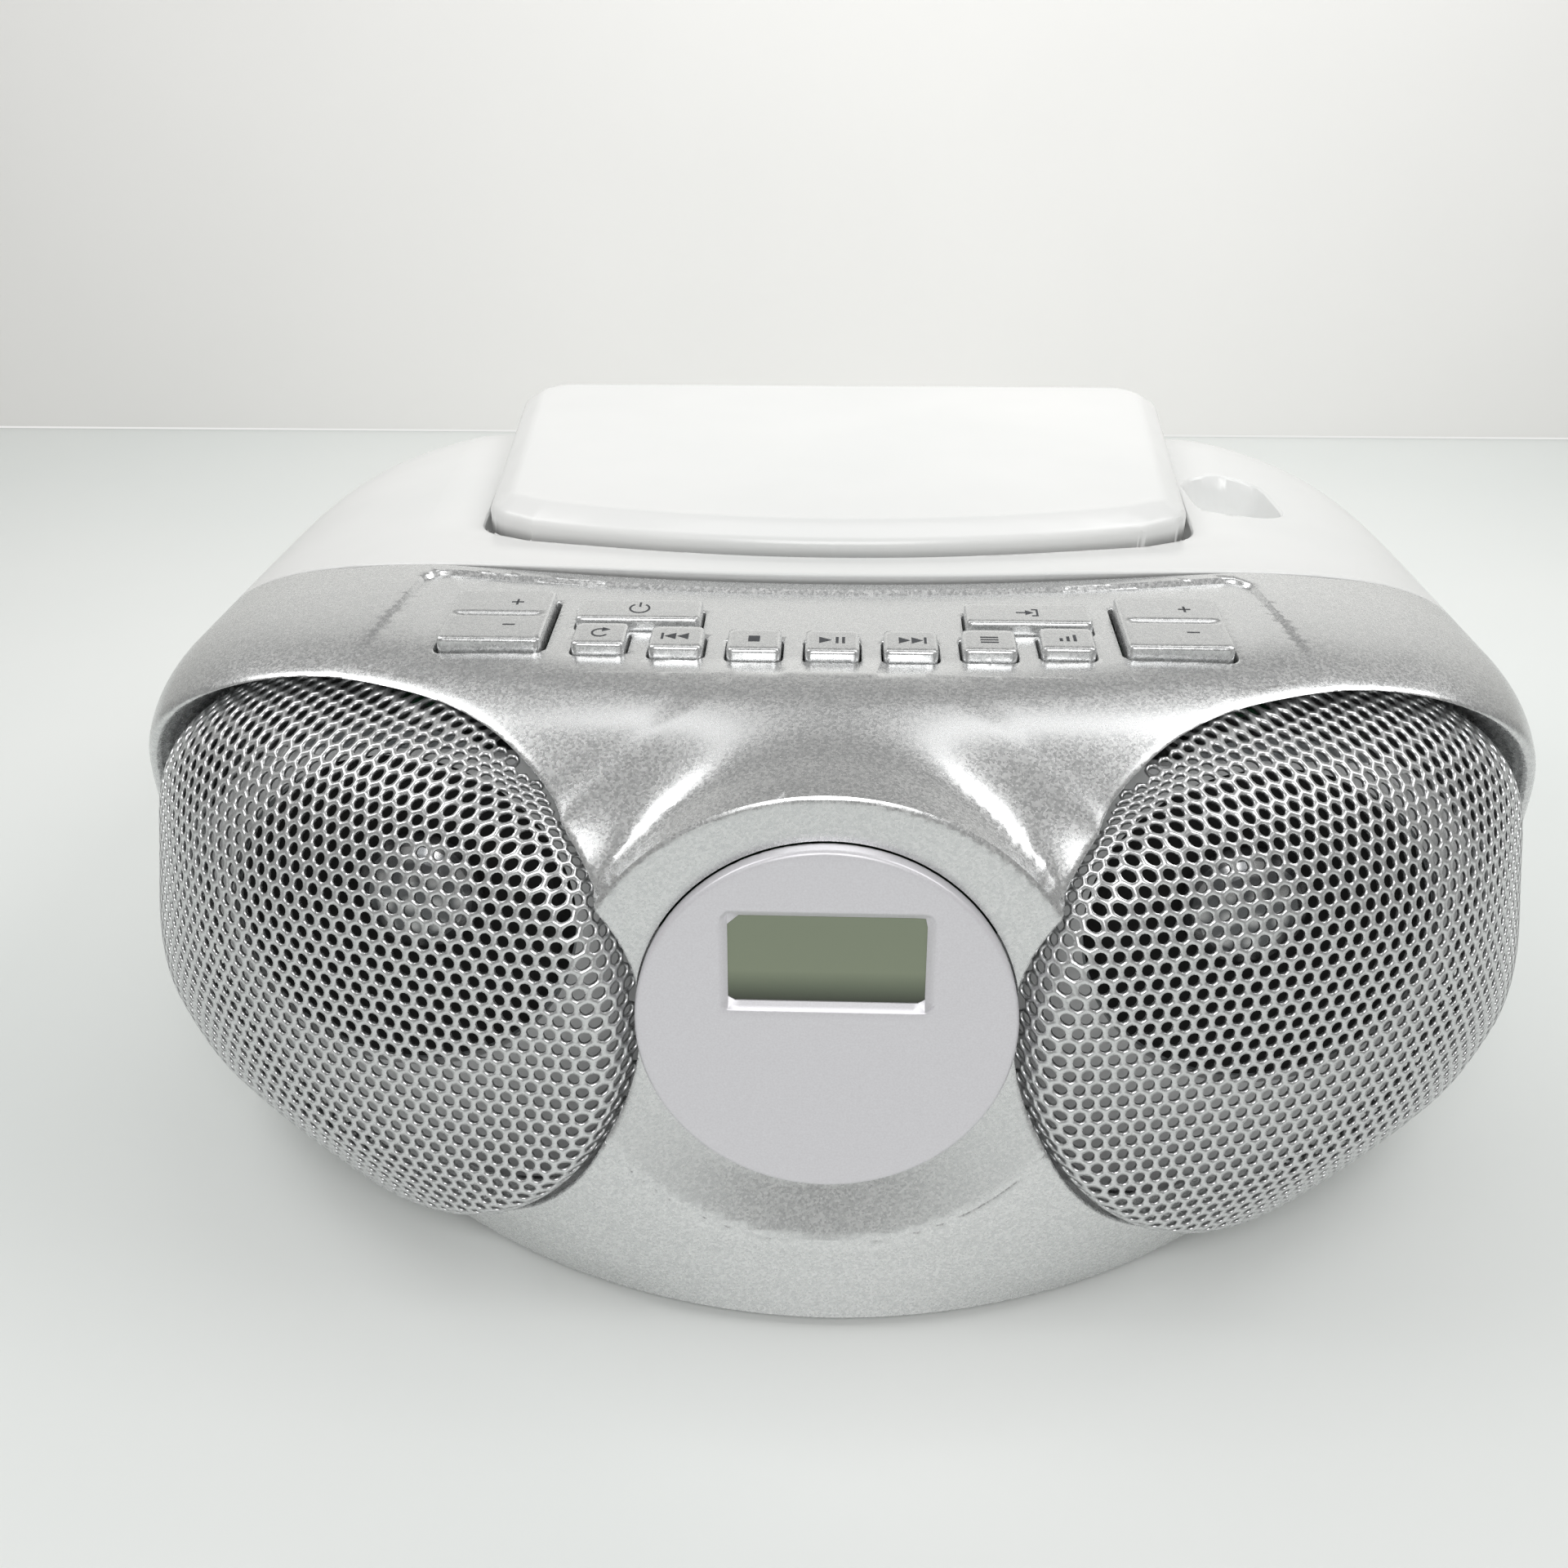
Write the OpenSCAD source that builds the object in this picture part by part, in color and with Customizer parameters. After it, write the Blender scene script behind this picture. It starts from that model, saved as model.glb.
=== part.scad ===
// Portable CD radio with two round-cornered speaker pods, a top-loading disc lid,
// a row of keys along the front of the top and a telescopic aerial along the back.
// Millimetres, +Z up, front towards -Y, origin on the floor under the middle.

/* [Shell] */
// Width of the shell at its widest level
body_w = 292; // [280:1:310]
// Depth from the chin to the flat back wall
body_d = 242.5; // [236:0.5:256]
// Height of the crown of the shell
body_h = 115.5; // [112:0.5:122]
// Level at which the shell is widest
waist_z = 58; // [54:1:62]
// Underside of the shell above the floor
base_z = 2; // [1.5:0.5:4]
// Thickness of the moulded walls
wall = 2.5; // [2:0.1:3]
// Backward lean of the front
lean = 8; // [6:0.5:10]
// Slope of the top towards the back
crown_slope = 0.06; // [0.045:0.005:0.07]
// Gap between neighbouring mouldings
part_gap = 0.3; // [0.2:0.05:0.5]
// Level of the seam between the upper and the lower cabinet
seam_z = 50; // [46:1:54]
// Distance from the chin to the seam behind the keys
bezel_depth = 92; // [90:1:95]
// Radius of that seam seen from above
bezel_seam_r = 400; // [350:10:480]

/* [Speaker pods] */
// Turn of each pod away from straight ahead
pod_yaw = 35; // [32:1:38]
// Sideways place of the pod axis
pod_u = 27; // [26:0.5:28]
// Half width of the pod towards the display
pod_in = 65; // [63:0.5:65.5]
// Half width of the pod towards the side
pod_out = 62; // [58:0.5:64]
// Distance of the pod's top below the crown
pod_top_gap = 7.5; // [7:0.5:10]
// Distance of the pod's bottom above the underside
pod_low_gap = 6; // [5:0.5:8]
// How far the grille stands proud of the shell
grille_proud = 5; // [3:0.5:6]
// Thickness of the perforated sheet
grille_t = 1; // [0.8:0.1:1.5]
// Gap round the grille
grille_gap = 0.8; // [0.5:0.1:1.2]
// Depth of the grille's rim below the shell's surface
grille_rim = 5; // [4:0.5:7]

/* [Speakers] */
// Distance of each speaker's centre inside the shell's side
speaker_in = 64; // [62:0.5:66]
// Distance of the speaker centres below the key panel
speaker_drop = 47.3; // [47.3:0.5:50.3]
// Distance of the baffle behind the chin
baffle_depth = 43; // [40:0.5:46]
// Radius of the speaker flange
speaker_r = 38.5; // [36:0.5:39]
// Radius of the cone
cone_r = 32; // [30:0.5:33]
// Depth of the basket
basket_d = 20; // [18:0.5:24]
// Radius of the dust cap
cap_r = 12.5; // [10:0.5:14]
// Radius of the magnet
magnet_r = 22.5; // [20:0.5:25]
// Thickness of the magnet
magnet_t = 10; // [8:0.5:14]

/* [Display] */
// Width of the band from the disc's edge to the ring's crest
ring_band = 9.6; // [9:0.2:11]
// Distance of the ring's crest below the key panel
ring_top_gap = 2.7; // [2.5:0.1:4]
// Thickness of the display disc
disc_t = 3; // [2.5:0.1:4]
// Height left in front for the ring's two ends, above and below
ring_ends = 23.3; // [21:0.1:25]
// Height of the display window's centre above the disc's centre
lcd_up = 12.5; // [11:0.5:13.5]
// Width of the display window
lcd_w = 34; // [30:0.5:38]
// Height of the display window
lcd_h = 16.5; // [14:0.5:18]
// Thickness of the window's clear plate
lcd_t = 1.2; // [1:0.1:1.5]

/* [Keys] */
// Width of a small key
key_w = 10.2; // [9:0.1:11]
// Length of a small key, front to back
key_d = 9; // [8:0.1:9.6]
// Pitch of the small keys
key_pitch = 14.8; // [14:0.1:15.4]
// Width of the power and source keys
wide_key_w = 24.5; // [23:0.1:26]
// Length of the power and source keys
wide_key_d = 8.8; // [8:0.1:9.4]
// Width of a rocker
rocker_w = 20; // [18:0.1:21]
// Length of a rocker
rocker_d = 21.5; // [20:0.1:22.5]
// Height of the keys above their panel
key_proud = 2.2; // [1.6:0.1:3]
// Travel of a key
key_travel = 1; // [0.6:0.1:1.2]
// Gap round a key
key_gap = 0.4; // [0.3:0.05:0.6]
// Gap round a rocker
rocker_gap = 0.6; // [0.5:0.05:0.8]
// Tilt of a rocker to each side
rocker_tilt = 3; // [2:0.5:3]

/* [Disc compartment] */
// Radius of the disc well
well_r = 62; // [61:0.1:62.2]
// Depth of the well's floor below the crown
well_drop = 18; // [16:0.5:20]
// Distance of the spindle in front of the back wall
spindle_back = 67; // [66:0.5:68]
// Radius of the hub's nose, for a 15 mm disc hole
hub_nose_r = 7.4; // [7.3:0.05:7.45]
// Radius of the hub's rest for the disc
hub_r = 15.5; // [14:0.5:17]
// Travel of the laser pickup
pickup_travel = 33; // [30:0.5:34]

/* [Lid] */
// Width of the lid at its front corners
lid_w_front = 160; // [156:1:165]
// Width of the lid at the back
lid_w_back = 179; // [174:1:184]
// Distance from the chin to the middle of the lid's front edge
lid_front = 110; // [106:0.5:111]
// Gap between the lid's back edge and the back wall
lid_back_gap = 1.5; // [1:0.5:3]
// Height of the lid's front edge above the crown
lid_rise = 3.3; // [2.5:0.1:5]
// Thickness of the lid
lid_t = 2.4; // [2:0.1:3]
// Gap between the lid and the deck
lid_gap = 0.6; // [0.4:0.1:1]
// Radius of the hinge pins
pin_r = 1.5; // [1.2:0.1:2]

/* [Back] */
// Width of the finger recess under the carrying bar
grip_w = 100; // [90:1:110]
// Height of the finger recess
grip_h = 25; // [22:0.5:26]
// Depth of the finger recess
grip_depth = 24; // [20:0.5:25]
// Bottom of the finger recess above the floor
grip_z = 56; // [55:0.5:58]
// Radius of the aerial's outer tube
aerial_r = 3.2; // [3:0.1:3.6]
// Length of the aerial when closed
aerial_len = 150; // [120:5:155]
// Height of the aerial above the floor
aerial_z = 89.5; // [88:0.5:91]
// Radius of the jack bores, for 3.5 mm plugs
jack_r = 1.8; // [1.76:0.01:1.85]
// Distance of the sockets from the middle
socket_x = 91; // [91:0.5:93]
// Height of the sockets
socket_z = 33; // [31:0.5:35]

/* [Batteries] */
// Width of the battery bay
bay_w = 154; // [150:1:158]
// Depth of the battery bay, front to back
bay_d = 55; // [54:0.5:58]
// Height of the battery bay inside
bay_h = 28; // [27.5:0.5:30]
// Travel of the battery door when it is slid open
door_travel = 12; // [8:1:16]

/* [Feet and screws] */
// Radius of the rubber feet
foot_r = 7; // [6:0.5:9]
// Radius of the screw shanks
screw_r = 1.5; // [1.2:0.1:1.6]
// Radius of the screw heads
screw_head_r = 2.8; // [2.5:0.1:3]

/* [Hidden] */

// Overall places
aerial_stand = 0.5;
overall_d = body_d + aerial_stand + 2 * aerial_r;
front_y = -overall_d / 2;
back_y = front_y + body_d;
split_y = front_y + bezel_depth;
widest_y = front_y + bezel_depth + 1;
round = 32;
fine = 64;

// Shape of the shell: superellipse rings stacked from the base to the crown
levels = 12;
ring_points = 60;
keel_drop = 24;
side_power_up = 4;
side_power_low = 2.2;
front_power = 2.3;
chin_power = 1.9;
chin_h = 30;
back_power = 6;
brow_power = 3.2;
brow_depth = 90;
back_bulge = 5.5;
back_brow_power = 3.4;
back_brow_depth = 26;

function limit(v, low, high) = max(low, min(high, v));
function rise(z, g) = limit((z - waist_z) / (body_h + g - waist_z), 0, 1);
function fall(z) = limit((waist_z - z) / (waist_z + keel_drop), 0, 1);
function round_off(t, n) = pow(max(0, 1 - pow(t, n)), 1 / n);
function half_width(z, g) = (z > waist_z ? round_off(rise(z, g), side_power_up)
    : round_off(fall(z), side_power_low)) * body_w / 2 + g;
function nose_y(z, g) = front_y + (z - base_z) * tan(lean) + brow_depth * (1 - round_off(rise(z, g), brow_power)) - g;
function tail_y(z, g) = back_y + back_bulge
    - back_brow_depth * (1 - round_off(rise(z, g), back_brow_power)) + g;
function nose_power(z) = chin_power + (front_power - chin_power) * limit(z / chin_h, 0, 1);
function arm(v, n) = sign(v) * pow(abs(v), 2 / n);
function sag(y, z, g) = crown_slope * max(0, y - split_y) * pow(rise(z, g), 2);

// One ring of the shell, g outside (or inside) the outer skin
function ring(z, g) = [for (i = [0 : ring_points - 1])
    let (a = 360 * i / ring_points,
        ahead = sin(a) < 0,
        n = ahead ? nose_power(z) : back_power,
        reach = ahead ? widest_y - nose_y(z, g) : tail_y(z, g) - widest_y,
        y = widest_y + max(1, reach) * arm(sin(a), n))
    [max(1, half_width(z, g)) * arm(cos(a), n), y, z - sag(y, z, g)]];

function level_z(i, g, floor_z) = floor_z + (body_h + g - floor_z) * 0.999 * sin(90 * i / levels);

module span(low, high) {
    points = concat(low, high);
    hull() polyhedron(points = points, faces = [[for (i = [0 : len(points) - 1]) i]]);
}

module body_form(g = 0, floor_z = base_z) {
    intersection() {
        union() for (i = [0 : levels - 1])
            span(ring(level_z(i, g, floor_z), g), ring(level_z(i + 1, g, floor_z), g));
        translate([-body_w, -2 * body_d, -body_h])
            cube([2 * body_w, 2 * body_d + back_y + g, 3 * body_h]);
    }
}

// The hollow inside the shell
module hollow(extra = 0) body_form(-wall - extra, base_z + wall + extra);

// Everything behind the seam of the bezel
module behind_seam(g = 0) translate([0, split_y + bezel_seam_r, -body_h])
    cylinder(r = bezel_seam_r + g, h = 3 * body_h, $fn = 360);

module above(z) translate([-body_w, -body_d, z]) cube([2 * body_w, 2 * body_d, body_h]);
module below(z) translate([-body_w, -body_d, z - body_h]) cube([2 * body_w, 2 * body_d, body_h]);

// Pods: outline across the pod axis
pod_power = 2.35;
pod_top = body_h - pod_top_gap;
pod_low = base_z + pod_low_gap;
pod_z = (pod_top + pod_low) / 2;
pod_half_h = (pod_top - pod_low) / 2;
function pod_point(a, g) = [(cos(a) < 0 ? pod_in + g : pod_out + g) * arm(cos(a), pod_power),
    (pod_half_h + g) * arm(sin(a), pod_power)];
pod_near = 60;
pod_far = 220;
module pod(g = 0) rotate([90, 0, pod_yaw]) translate([pod_u, pod_z, pod_near])
    linear_extrude(pod_far - pod_near) polygon([for (i = [0 : 5 : 359]) pod_point(i, g)]);

// Places a child as it stands on the right, or mirrored to the left
module on_side(side) mirror([side < 0 ? 1 : 0, 0, 0]) children();

// The panel of keys: local x along the row, y towards the back, z out of the panel
panel_in = 53;
panel_drop = 4.2;
panel_y = front_y + panel_in;
panel_z = body_h - panel_drop;
panel_slope = 2.9;
panel_w = 176;
panel_depth_y = 42;
panel_step = 1;
module on_panel() translate([0, panel_y, panel_z]) rotate([panel_slope, 0, 0]) children();

row_y = 10;
back_row_y = 22.5;
rocker_y = 19.5;
rocker_x = 65.5;
wide_key_x = 38;
key_arc = 0.001;
small_keys = ["mode", "previous", "stop", "play_pause", "next", "program", "bass_boost"];
function small_key_x(i) = (i - 3) * key_pitch;
function small_key_y(i) = row_y + key_arc * pow(small_key_x(i), 2);

module rounded_box(w, d, low, high, r) hull() for (x = [-1, 1], y = [-1, 1])
    translate([x * (w / 2 - r), y * (d / 2 - r), low]) cylinder(r = r, h = high - low, $fn = round);

key_corner = 1;
key_flange = 1;
key_stem_r = 1.6;
flange_gap = 0.3;
flange_top = -wall - flange_gap;
flange_low = flange_top - key_flange;
switch_h = 1.4;
switch_gap = 0.1;
board_z = flange_low - 6.6;
board_t = 1.6;
stem_end = board_z + board_t + switch_h + key_travel + switch_gap;

module key(w, d, x, y) on_panel() translate([x, y, 0]) {
    rounded_box(w, d, flange_top - 0.01, key_proud, key_corner);
    rounded_box(w + 2 * key_flange, d, flange_low, flange_top, key_corner);
    translate([0, 0, stem_end]) cylinder(r = key_stem_r, h = flange_low - stem_end + 0.01, $fn = round);
}

module key_hole(w, d, x, y, gap) on_panel() translate([x, y, 0])
    rounded_box(w + 2 * gap, d + 2 * gap, -3 * wall, 3 * wall, key_corner + gap);

module key_holes() {
    for (i = [0 : 6]) key_hole(key_w, key_d, small_key_x(i), small_key_y(i), key_gap);
    for (s = [-1, 1]) {
        key_hole(wide_key_w, wide_key_d, s * wide_key_x, back_row_y, key_gap);
        key_hole(rocker_w, rocker_d, s * rocker_x, rocker_y, rocker_gap);
    }
}

// Display: local z out of the face
ring_r = (panel_z - base_z - ring_ends) / 2;
disc_r = ring_r - ring_band;
disc_z = panel_z - ring_r - ring_top_gap;
display_back = 8.7;
display_y = front_y + display_back;
module on_display(out = 0) translate([0, display_y, disc_z]) rotate([90 - lean, 0, 0])
    translate([0, 0, out]) children();
disc_proud = 0.8;
disc_gap = 0.2;
ring_flare = 3;
ring_deep = 14;

// Speakers: local z out of the baffle
module at_speaker(side) translate([side * speaker_x, front_y + baffle_depth, speaker_z])
    rotate([90 - lean, 0, 0]) children();
speaker_x = body_w / 2 - speaker_in;
speaker_z = panel_z - speaker_drop;
small_screw_r = 1.1;
small_screw_gap = 0.03;
screw_ring = 1.7;
screw_bite = 1.7;
module speaker_holes() for (a = [45 : 90 : 359]) rotate(a) translate([speaker_r - screw_ring, 0, 0]) children();
baffle_t = 2.5;
baffle_in = 33;
baffle_under = 13.7;
cone_clear = 1.5;
flange_t = 2;

// Cabinet screws: two in front of the battery bay, two beside its front end
bay_y = back_y - wall - bay_d;
boss_r = 4.5;
boss_in = 46;
boss_front = 59;
boss_back = 2.5;
boss_x = body_w / 2 - boss_in;
boss_front_y = bay_y - boss_front;
boss_back_y = bay_y - boss_back;
boss_reach = 12;
screw_gap = 0.05;

module boss_places() for (x = [-boss_x, boss_x], y = [boss_front_y, boss_back_y]) translate([x, y, 0]) children();

// ---- Front ----
module front_bezel() color("silver") difference() {
    union() {
        difference() {
            body_form();
            hollow();
            on_panel() translate([-body_w, -body_d, 0]) cube([2 * body_w, 2 * body_d, body_h]);
        }
        intersection() {
            body_form();
            on_panel() translate([-body_w, -body_d, -wall]) cube([2 * body_w, 2 * body_d, wall]);
        }
        difference() {
            on_display(-ring_deep) cylinder(r1 = ring_r + ring_flare, r2 = ring_r - 1, h = ring_deep, $fn = 96);
            hollow(2 * wall);
        }
    }
    behind_seam();
    on_display(-disc_t) cylinder(r = disc_r + disc_gap, h = 2 * disc_t, $fn = 96);
    on_display(-3 * ring_deep) cylinder(r = disc_r - disc_ledge, h = 3 * ring_deep, $fn = 96);
    for (s = [-1, 1]) on_side(s) pod(0);
    key_holes();
    on_panel() translate([0, panel_depth_y, 0]) rotate([-atan(panel_step / panel_depth_y), 0, 0])
        translate([-panel_w / 2, -panel_depth_y, -panel_step]) cube([panel_w, panel_depth_y, wall]);
}

module display_panel() color("whitesmoke") difference() {
    on_display(-disc_t) cylinder(r = disc_r, h = disc_t + disc_proud, $fn = 96);
    on_display() translate([-lcd_w / 2, lcd_up - lcd_h / 2, -2 * disc_t]) cube([lcd_w, lcd_h, 4 * disc_t]);
}

lcd_clear = 0.1;
module lcd_window() color([0.6, 0.66, 0.55, 0.5]) on_display(-disc_t + 0.5)
    translate([-lcd_w / 2 + lcd_clear, lcd_up - lcd_h / 2 + lcd_clear, 0])
        cube([lcd_w - 2 * lcd_clear, lcd_h - 2 * lcd_clear, lcd_t]);

lcd_frame = 2.5;
lcd_frame_t = 4;
disc_ledge = 2;
module lcd_module() color("dimgray") on_display(-disc_t - lcd_frame_t - lcd_clear) intersection() {
    translate([-lcd_w / 2 - lcd_frame, lcd_up - lcd_h / 2 - lcd_frame, 0])
        cube([lcd_w + 2 * lcd_frame, lcd_h + 2 * lcd_frame, lcd_frame_t]);
    cylinder(r = disc_r - disc_ledge - part_gap, h = lcd_frame_t, $fn = 96);
}

module grille(side) color("gainsboro") on_side(side) difference() {
    intersection() {
        body_form(grille_proud);
        pod(-grille_gap);
    }
    intersection() {
        body_form(grille_proud - grille_t);
        pod(-grille_gap - grille_t);
    }
    body_form(-grille_rim);
    behind_seam(grille_gap);
}
module left_grille() grille(-1);
module right_grille() grille(1);

module baffle(side) color("lightgray") intersection() {
    hollow(part_gap);
    difference() {
        at_speaker(side) translate([0, 0, baffle_t / 2]) cube([2 * body_h, 2 * body_h, baffle_t], center = true);
        at_speaker(side) translate([0, 0, -baffle_t]) cylinder(r = cone_r + cone_clear, h = 4 * baffle_t, $fn = 96);
        at_speaker(side) speaker_holes() translate([0, 0, -baffle_t])
            cylinder(r = small_screw_r + small_screw_gap, h = baffle_t + screw_bite + part_gap, $fn = round);
    }
    translate([side < 0 ? -body_w : baffle_in, -body_d, base_z + wall + part_gap])
        cube([body_w - baffle_in, 2 * body_d, panel_z - baffle_under - base_z - wall - part_gap]);
}
module left_baffle() baffle(-1);
module right_baffle() baffle(1);

// ---- Speakers ----
basket_t = 1.2;
basket_r = 21;
module speaker_frame(side) color("dimgray") at_speaker(side) difference() {
    rotate_extrude($fn = 96) polygon([[cone_r + 0.8, 0], [speaker_r, 0], [speaker_r, -flange_t],
        [cone_r + 3, -flange_t], [basket_r + basket_t, -basket_d], [basket_r - 6, -basket_d],
        [basket_r - 6, -basket_d + basket_t], [basket_r, -basket_d + basket_t], [cone_r + 0.8, -flange_t]]);
    speaker_holes() translate([0, 0, -2 * flange_t])
        cylinder(r = small_screw_r + small_screw_gap, h = 3 * flange_t, $fn = round);
}
module left_speaker_frame() speaker_frame(-1);
module right_speaker_frame() speaker_frame(1);

cone_t = 0.6;
cone_deep = 13;
coil_r = 9;
module speaker_cone(side) color("black") at_speaker(side) rotate_extrude($fn = 96)
    polygon([[cone_r + 0.7, -0.4], [cone_r - 2, 1.2], [cone_r - 4, -0.6], [coil_r, -cone_deep],
        [coil_r, -cone_deep - 4], [coil_r - cone_t, -cone_deep - 4], [coil_r - cone_t, -cone_deep + 1],
        [cone_r - 4.4, 0.2], [cone_r - 2, 2.1], [cone_r + 0.7, 0.5]]);
module left_speaker_cone() speaker_cone(-1);
module right_speaker_cone() speaker_cone(1);

cap_h = 5.5;
cap_seat = -9.2;
module dust_cap(side) color("silver") at_speaker(side) translate([0, 0, cap_seat]) rotate_extrude($fn = 64)
    polygon(concat([for (i = [0 : 9]) [cap_r * cos(10 * i), cap_h * sin(10 * i)]],
        [for (i = [9 : -1 : 0]) [(cap_r - cone_t) * cos(10 * i), (cap_h - cone_t) * sin(10 * i)]]));
module left_dust_cap() dust_cap(-1);
module right_dust_cap() dust_cap(1);

module speaker_magnet(side) color("gray") at_speaker(side)
    translate([0, 0, -basket_d - magnet_t]) cylinder(r = magnet_r, h = magnet_t, $fn = fine);
module left_speaker_magnet() speaker_magnet(-1);
module right_speaker_magnet() speaker_magnet(1);

// ---- Keys ----
axle_r = 1.5;
axle_drop = 6.5;
axle_len = 15;
axle_gap = 0.05;
rocker_skin = 3;
rocker_web = 10;
rocker_reach = 6.5;
rocker_stem_end = board_z + board_t + switch_h + rocker_reach * sin(rocker_tilt) + 2 * switch_gap;

module rocker(s) color("silver") on_panel() translate([s * rocker_x, rocker_y, 0]) {
    rounded_box(rocker_w, rocker_d, key_proud - rocker_skin, key_proud, key_corner);
    translate([-rocker_web / 2, -axle_r, -axle_drop])
        cube([rocker_web, 2 * axle_r, axle_drop + key_proud - rocker_skin + 0.01]);
    translate([-axle_len / 2, 0, -axle_drop]) rotate([0, 90, 0]) cylinder(r = axle_r, h = axle_len, $fn = fine);
    for (y = [-rocker_reach, rocker_reach]) translate([0, y, rocker_stem_end])
        cylinder(r = key_stem_r, h = key_proud - rocker_skin - rocker_stem_end + 0.01, $fn = round);
}
module preset_rocker() rocker(-1);
module volume_rocker() rocker(1);

module wide_key(s) color("silver") key(wide_key_w, wide_key_d, s * wide_key_x, back_row_y);
module power_key() wide_key(-1);
module source_key() wide_key(1);

module small_key(i) color("silver") key(key_w, key_d, small_key_x(i), small_key_y(i));
module mode_key() small_key(0);
module previous_key() small_key(1);
module stop_key() small_key(2);
module play_pause_key() small_key(3);
module next_key() small_key(4);
module program_key() small_key(5);
module bass_boost_key() small_key(6);

saddle_t = 1.6;
saddle_w = 6;
module rocker_saddles() color("ivory") for (s = [-1, 1]) on_panel() translate([s * rocker_x, rocker_y, 0])
    difference() {
        union() {
            translate([-axle_len / 2, -saddle_w / 2, board_z + board_t])
                cube([axle_len, saddle_w, saddle_t]);
            for (x = [-axle_len / 2, axle_len / 2 - saddle_t])
                translate([x, -saddle_w / 2, board_z + board_t])
                    cube([saddle_t, saddle_w, -axle_drop + axle_r + 1 - board_z - board_t]);
        }
        translate([-axle_len, 0, -axle_drop]) rotate([0, 90, 0])
            cylinder(r = axle_r + axle_gap, h = 2 * axle_len, $fn = fine);
    }

board_w = 166;
board_d = 32;
board_y = 5;
switch_w = 4.5;
module switch(x, y) translate([x - switch_w / 2, y - switch_w / 2, board_z + board_t - 0.01])
    cube([switch_w, switch_w, switch_h + 0.01]);
module key_board() color("darkgreen") on_panel() {
    translate([-board_w / 2, board_y, board_z]) cube([board_w, board_d - board_y, board_t]);
    for (i = [0 : 6]) switch(small_key_x(i), small_key_y(i));
    for (s = [-1, 1]) {
        switch(s * wide_key_x, back_row_y);
        for (y = [-rocker_reach, rocker_reach]) switch(s * rocker_x, rocker_y + y);
    }
}

// ---- Cabinet ----
well_y = back_y - spindle_back;
well_z = body_h - well_drop;
well_t = 2;
lens_near = 24.5;
lens_r = 3.4;
slot_w = 18;
hub_hole_gap = 2;
grip_wall = 2.5;
grip_round = 5;
hinge_x = 36;
hinge_in = 2;
hinge_drop = 16.5;
hinge_y = back_y - hinge_in;
hinge_z = body_h - hinge_drop;
knuckle_r = 3.2;
hinge_trough_r = 2.4;
rebate_gap = 1;
knuckle_w = 8;
ear_t = 3.4;
ear_gap = 0.4;
bracket_w = knuckle_w + 2 * ear_t + 2 * ear_gap;
bracket_d = 10;
bracket_floor = hinge_z - 4.8;
bracket_t = 1.2;
scoop_out = 7.5;
scoop_ahead = 12.5;
scoop_x = lid_w_back / 2 + scoop_out;
scoop_y = well_y - scoop_ahead;
scoop_r = 10;
scoop_len = 36;
scoop_drop = 19.5;
scoop_floor = body_h - scoop_drop;
aerial_in = 48;
aerial_x = body_w / 2 - aerial_in;
aerial_y = back_y + aerial_stand + aerial_r;
base_r = 7;
base_in = 22;
bay_top = base_z + wall + bay_h;
bay_wall = 2;
door_lip = 18;
door_gap = 0.4;
socket_w = 24;
socket_h = 22;
socket_deep = 17;
socket_floor_y = back_y - socket_deep;
socket_wall = 2.5;
jack_pitch = 13;
jack_nose_r = 4;
inlet_w = 21;
inlet_h = 13;
fit_gap = 0.1;

// A box with rounded edges that run along Y
module rounded_box_y(w, low, high, near, far, r) hull() for (x = [-1, 1], z = [low + r, high - r])
    translate([x * (w / 2 - r), far, z]) rotate([90, 0, 0]) cylinder(r = r, h = far - near, $fn = round);

module grip_recess(g) rounded_box_y(grip_w + 2 * g, grip_z - g, grip_z + grip_h + g,
    back_y - grip_depth - g, back_y + 2 * wall, grip_round + g);

module scoop(g) hull() for (s = [-1, 1], lift = [0, 1])
    translate([scoop_x, scoop_y + s * (scoop_len / 2 - scoop_r), scoop_floor - g + lift * scoop_r / 2])
        cylinder(r = scoop_r * (0.7 + 0.3 * lift) + g, h = body_h, $fn = round);

module hinge_block(g) for (s = [-1, 1]) translate([s * hinge_x - bracket_w / 2 - g,
    back_y - bracket_d - g, bracket_floor - g]) cube([bracket_w + 2 * g, 2 * bracket_d, body_h]);

// Room for the lid's back edge as it swings
module hinge_rebate(g) translate([-lid_w_back / 2 - rebate_gap - g, hinge_y, hinge_z]) {
    rotate([0, 90, 0]) cylinder(r = hinge_trough_r + g, h = lid_w_back + 2 * rebate_gap + 2 * g, $fn = round);
    translate([0, -hinge_trough_r - g, 0]) cube([lid_w_back + 2 * rebate_gap + 2 * g, 4 * hinge_trough_r, body_h]);
}

module ahead_of_seam(g) difference() {
    translate([-body_w, -2 * body_d, -body_h]) cube([2 * body_w, 3 * body_d, 3 * body_h]);
    behind_seam(-g);
}

module aerial_hole(r) translate([aerial_x, back_y - socket_deep - 8, aerial_z]) rotate([-90, 0, 0])
    cylinder(r = r, h = 4 * socket_deep, $fn = fine);

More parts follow.
